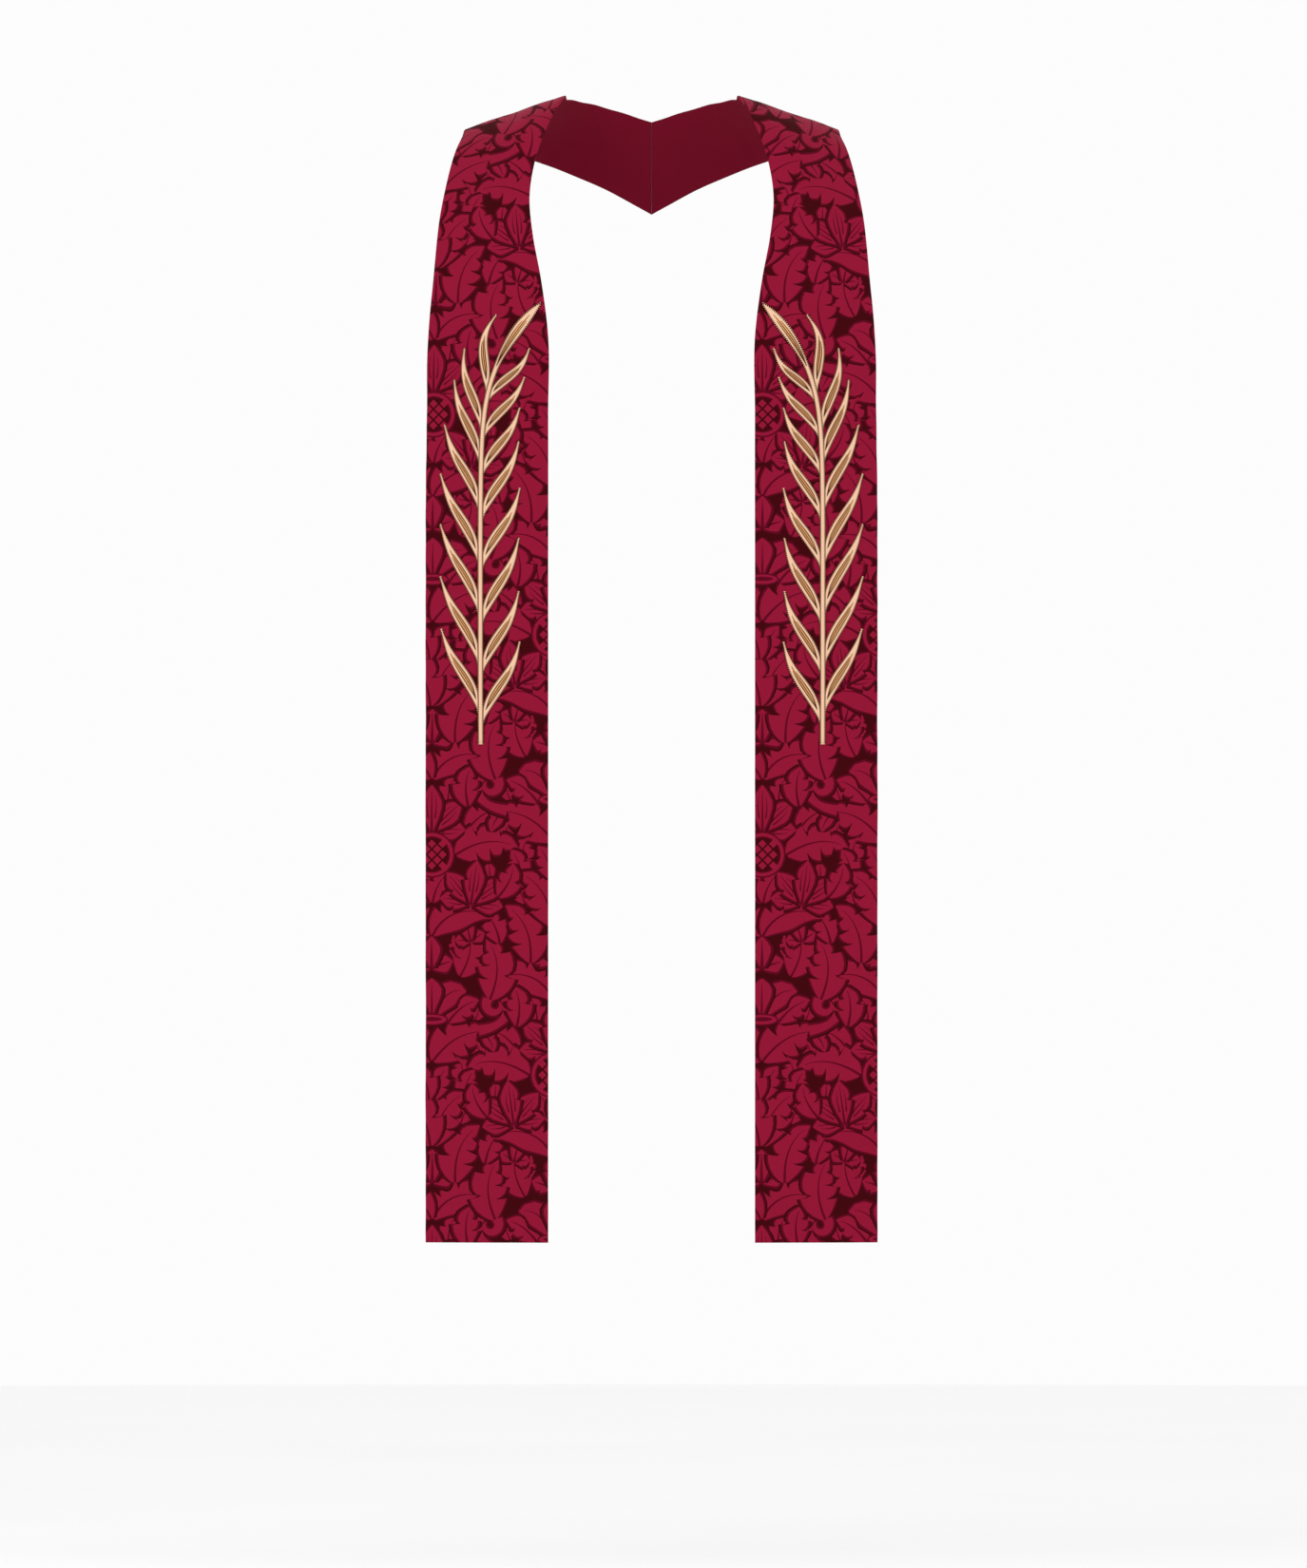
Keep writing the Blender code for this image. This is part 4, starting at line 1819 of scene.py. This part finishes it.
@dataclass(frozen=True)
class SatinFinish:
    """Satin or silk thread of one colour, with its fine floats."""

    name: str
    colour: Colour
    shade: Colour
    roughness: float = 0.42
    slub_roughness: float = 0.12
    thread: float = 0.5 * MM
    bump: float = 0.3
    relief: float = 0.1 * MM
    float_height: float = 0.5
    sheen: float = 0.15
    sheen_roughness: float = 0.4
    gloss: float = 0.35
    slant: float = 0.35
    cloud_scale: float = 45.0
    cloud_share: float = 0.35
    slub_scale: float = 420.0
    slub_detail: float = 2.0
    slub_share: float = 0.25
    float_share: float = 0.25

    def material(self) -> bpy.types.Material:
        """Makes the material, or finds the one made before.

        Returns:
            The material.
        """
        if self.name in bpy.data.materials:
            return bpy.data.materials[self.name]
        recipe = Recipe(self.name)
        u, v = recipe.grain()
        floats = ((u + v * self.slant) * (math.tau / self.thread)).wave()
        clouds = recipe.clouds(self.cloud_scale)
        slubs = recipe.clouds(self.slub_scale, self.slub_detail)
        worn = self.cloud_share * clouds + self.slub_share * slubs + self.float_share * floats
        height = floats * self.float_height + slubs
        relief = {"Strength": self.bump, "Distance": self.relief, "Height": height}
        return recipe.finished({
            "Base Color": recipe.tinted(self.colour, self.shade, worn),
            "Roughness": self.roughness + self.slub_roughness * slubs,
            "Specular IOR Level": self.gloss,
            "Sheen Weight": self.sheen,
            "Sheen Roughness": self.sheen_roughness,
            "Sheen Tint": self.colour,
            "Normal": recipe.node("ShaderNodeBump", None, relief),
        })


@dataclass(frozen=True)
class FloorFinish:
    """A plain pale floor with a faint mottle."""

    name: str = "pale_floor"
    colour: Colour = from_screen(250, 250, 250)
    shade: Colour = (0.96, 0.96, 0.96, 1.0)
    mottle_scale: float = 1.5
    roughness: float = 0.8

    def material(self) -> bpy.types.Material:
        """Makes the material.

        Returns:
            The material.
        """
        recipe = Recipe(self.name)
        colour = recipe.tinted(self.colour, self.shade, recipe.clouds(self.mottle_scale))
        return recipe.finished({"Base Color": colour, "Roughness": self.roughness})


# The studio.


class Lamp(NamedTuple):
    """A soft square lamp: name, place, the length of its sides, and power in watts."""

    name: str
    place: tuple[float, float, float]
    size: float
    power: float


@dataclass
class Studio:
    """The floor, the light and the camera, which sees 1375 by 1650 of the photograph's pixels."""

    floor_height: float = -1.53
    floor_reach: float = 6.0
    floor_sides: int = 96
    camera_distance: float = 20.0
    view_height: float = 1.6335
    view_centre: tuple[float, float] = (0.002, -0.717)
    sensor: float = 36.0
    world_strength: float = 0.98
    lamps: tuple[Lamp, ...] = (
        Lamp("key", (-2.6, -4.2, 1.6), 2.6, 40.0),
        Lamp("fill", (3.4, -3.4, -0.2), 3.0, 10.0),
    )
    chest: tuple[float, float, float] = (0.0, 0.0, -0.5)

    def build(self) -> None:
        """Makes everything round the stole."""
        self._floor()
        self._world()
        for lamp in self.lamps:
            self._lamp(lamp)
        self._camera()

    def _floor(self) -> None:
        """A round floor that fades from sight."""
        disc = bmesh.new()
        sides, reach = self.floor_sides, self.floor_reach
        bmesh.ops.create_circle(disc, cap_ends=True, segments=sides, radius=reach)
        bmesh.ops.translate(disc, verts=disc.verts, vec=Vector((0, 0, self.floor_height)))
        mesh = bpy.data.meshes.new("floor")
        disc.to_mesh(mesh)
        disc.free()
        mesh.materials.append(FloorFinish().material())
        floor = bpy.data.objects.new("floor", mesh)
        bpy.context.scene.collection.objects.link(floor)

    def _world(self) -> None:
        """Even white light from all round."""
        world = bpy.data.worlds.new("studio")
        world.use_nodes = True
        background = world.node_tree.nodes["Background"]
        background.inputs["Color"].default_value = (1.0, 1.0, 1.0, 1.0)
        background.inputs["Strength"].default_value = self.world_strength
        bpy.context.scene.world = world
        bpy.context.scene.view_settings.view_transform = "Standard"

    def _lamp(self, lamp: Lamp) -> None:
        """Makes a lamp that looks at the stole's chest.

        Args:
            lamp: What the lamp is like.
        """
        light = bpy.data.lights.new(lamp.name, "AREA")
        light.size = lamp.size
        light.energy = lamp.power
        item = bpy.data.objects.new(lamp.name, light)
        item.location = lamp.place
        aim = Vector(self.chest) - Vector(lamp.place)
        item.rotation_euler = aim.to_track_quat("-Z", "Y").to_euler()
        bpy.context.scene.collection.objects.link(item)

    def _camera(self) -> None:
        """A level camera far in front, so that there is as little perspective as in the photo."""
        camera = bpy.data.cameras.new("camera")
        camera.sensor_width = self.sensor
        camera.lens = self.sensor * self.camera_distance / self.view_height
        camera.clip_end = 5 * self.camera_distance
        item = bpy.data.objects.new("camera", camera)
        item.location = (self.view_centre[0], -self.camera_distance, self.view_centre[1])
        item.rotation_euler = (math.pi / 2, 0, 0)
        bpy.context.scene.collection.objects.link(item)
        bpy.context.scene.camera = item


SURFACES = (
    StoleSurface(Side.LEFT, Swing(5.0 * MM, 0.62, 0.4), Swing(6.0 * MM, 0.55, 2.3)),
    StoleSurface(Side.RIGHT, Swing(6.0 * MM, 0.58, 2.9), Swing(5.0 * MM, 0.66, 0.9)),
)
THREADS = {
    Thread.SATIN: SatinFinish(
        "gold_satin", colour=from_screen(253, 204, 163), shade=from_screen(230, 192, 148)
    ),
    Thread.INLAY: SatinFinish(
        "tan_silk", colour=from_screen(242, 184, 120), shade=from_screen(226, 184, 140)
    ),
    Thread.VEIN: SatinFinish(
        "brown_silk", from_screen(86, 43, 13), from_screen(200, 160, 120), sheen=0.0, gloss=0.15
    ),
    Thread.GOLD_STITCH: SatinFinish(
        "gold_thread", colour=from_screen(246, 198, 154), shade=from_screen(224, 184, 140)
    ),
    # Near-black thread for the edging and for the stitches between the gold ones, partly painted shade
    # round the satin's edges and in the gaps.
    Thread.BROWN_STITCH: SatinFinish(
        "dark_thread", from_screen(40, 14, 12), from_screen(180, 140, 120), sheen=0.0, gloss=0.12
    ),
}


def main() -> None:
    """Builds the dressed stole and its studio."""
    logging.basicConfig(level=logging.INFO, format="%(name)s: %(message)s")
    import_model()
    Studio().build()
    for surface in SURFACES:
        half = DamaskHalf(surface, DamaskChart())
        piece = half.build()
        half.dress(piece, DamaskFinish())
        LOG.info("%s: %d faces, cut %s m", piece.name, len(piece.data.polygons), half.cut.size())
        palm = PalmBranch(surface)
        piece = palm.build()
        palm.dress(piece, THREADS)
        LOG.info("%s: %d faces", piece.name, len(piece.data.polygons))


if __name__ == "__main__":
    main()
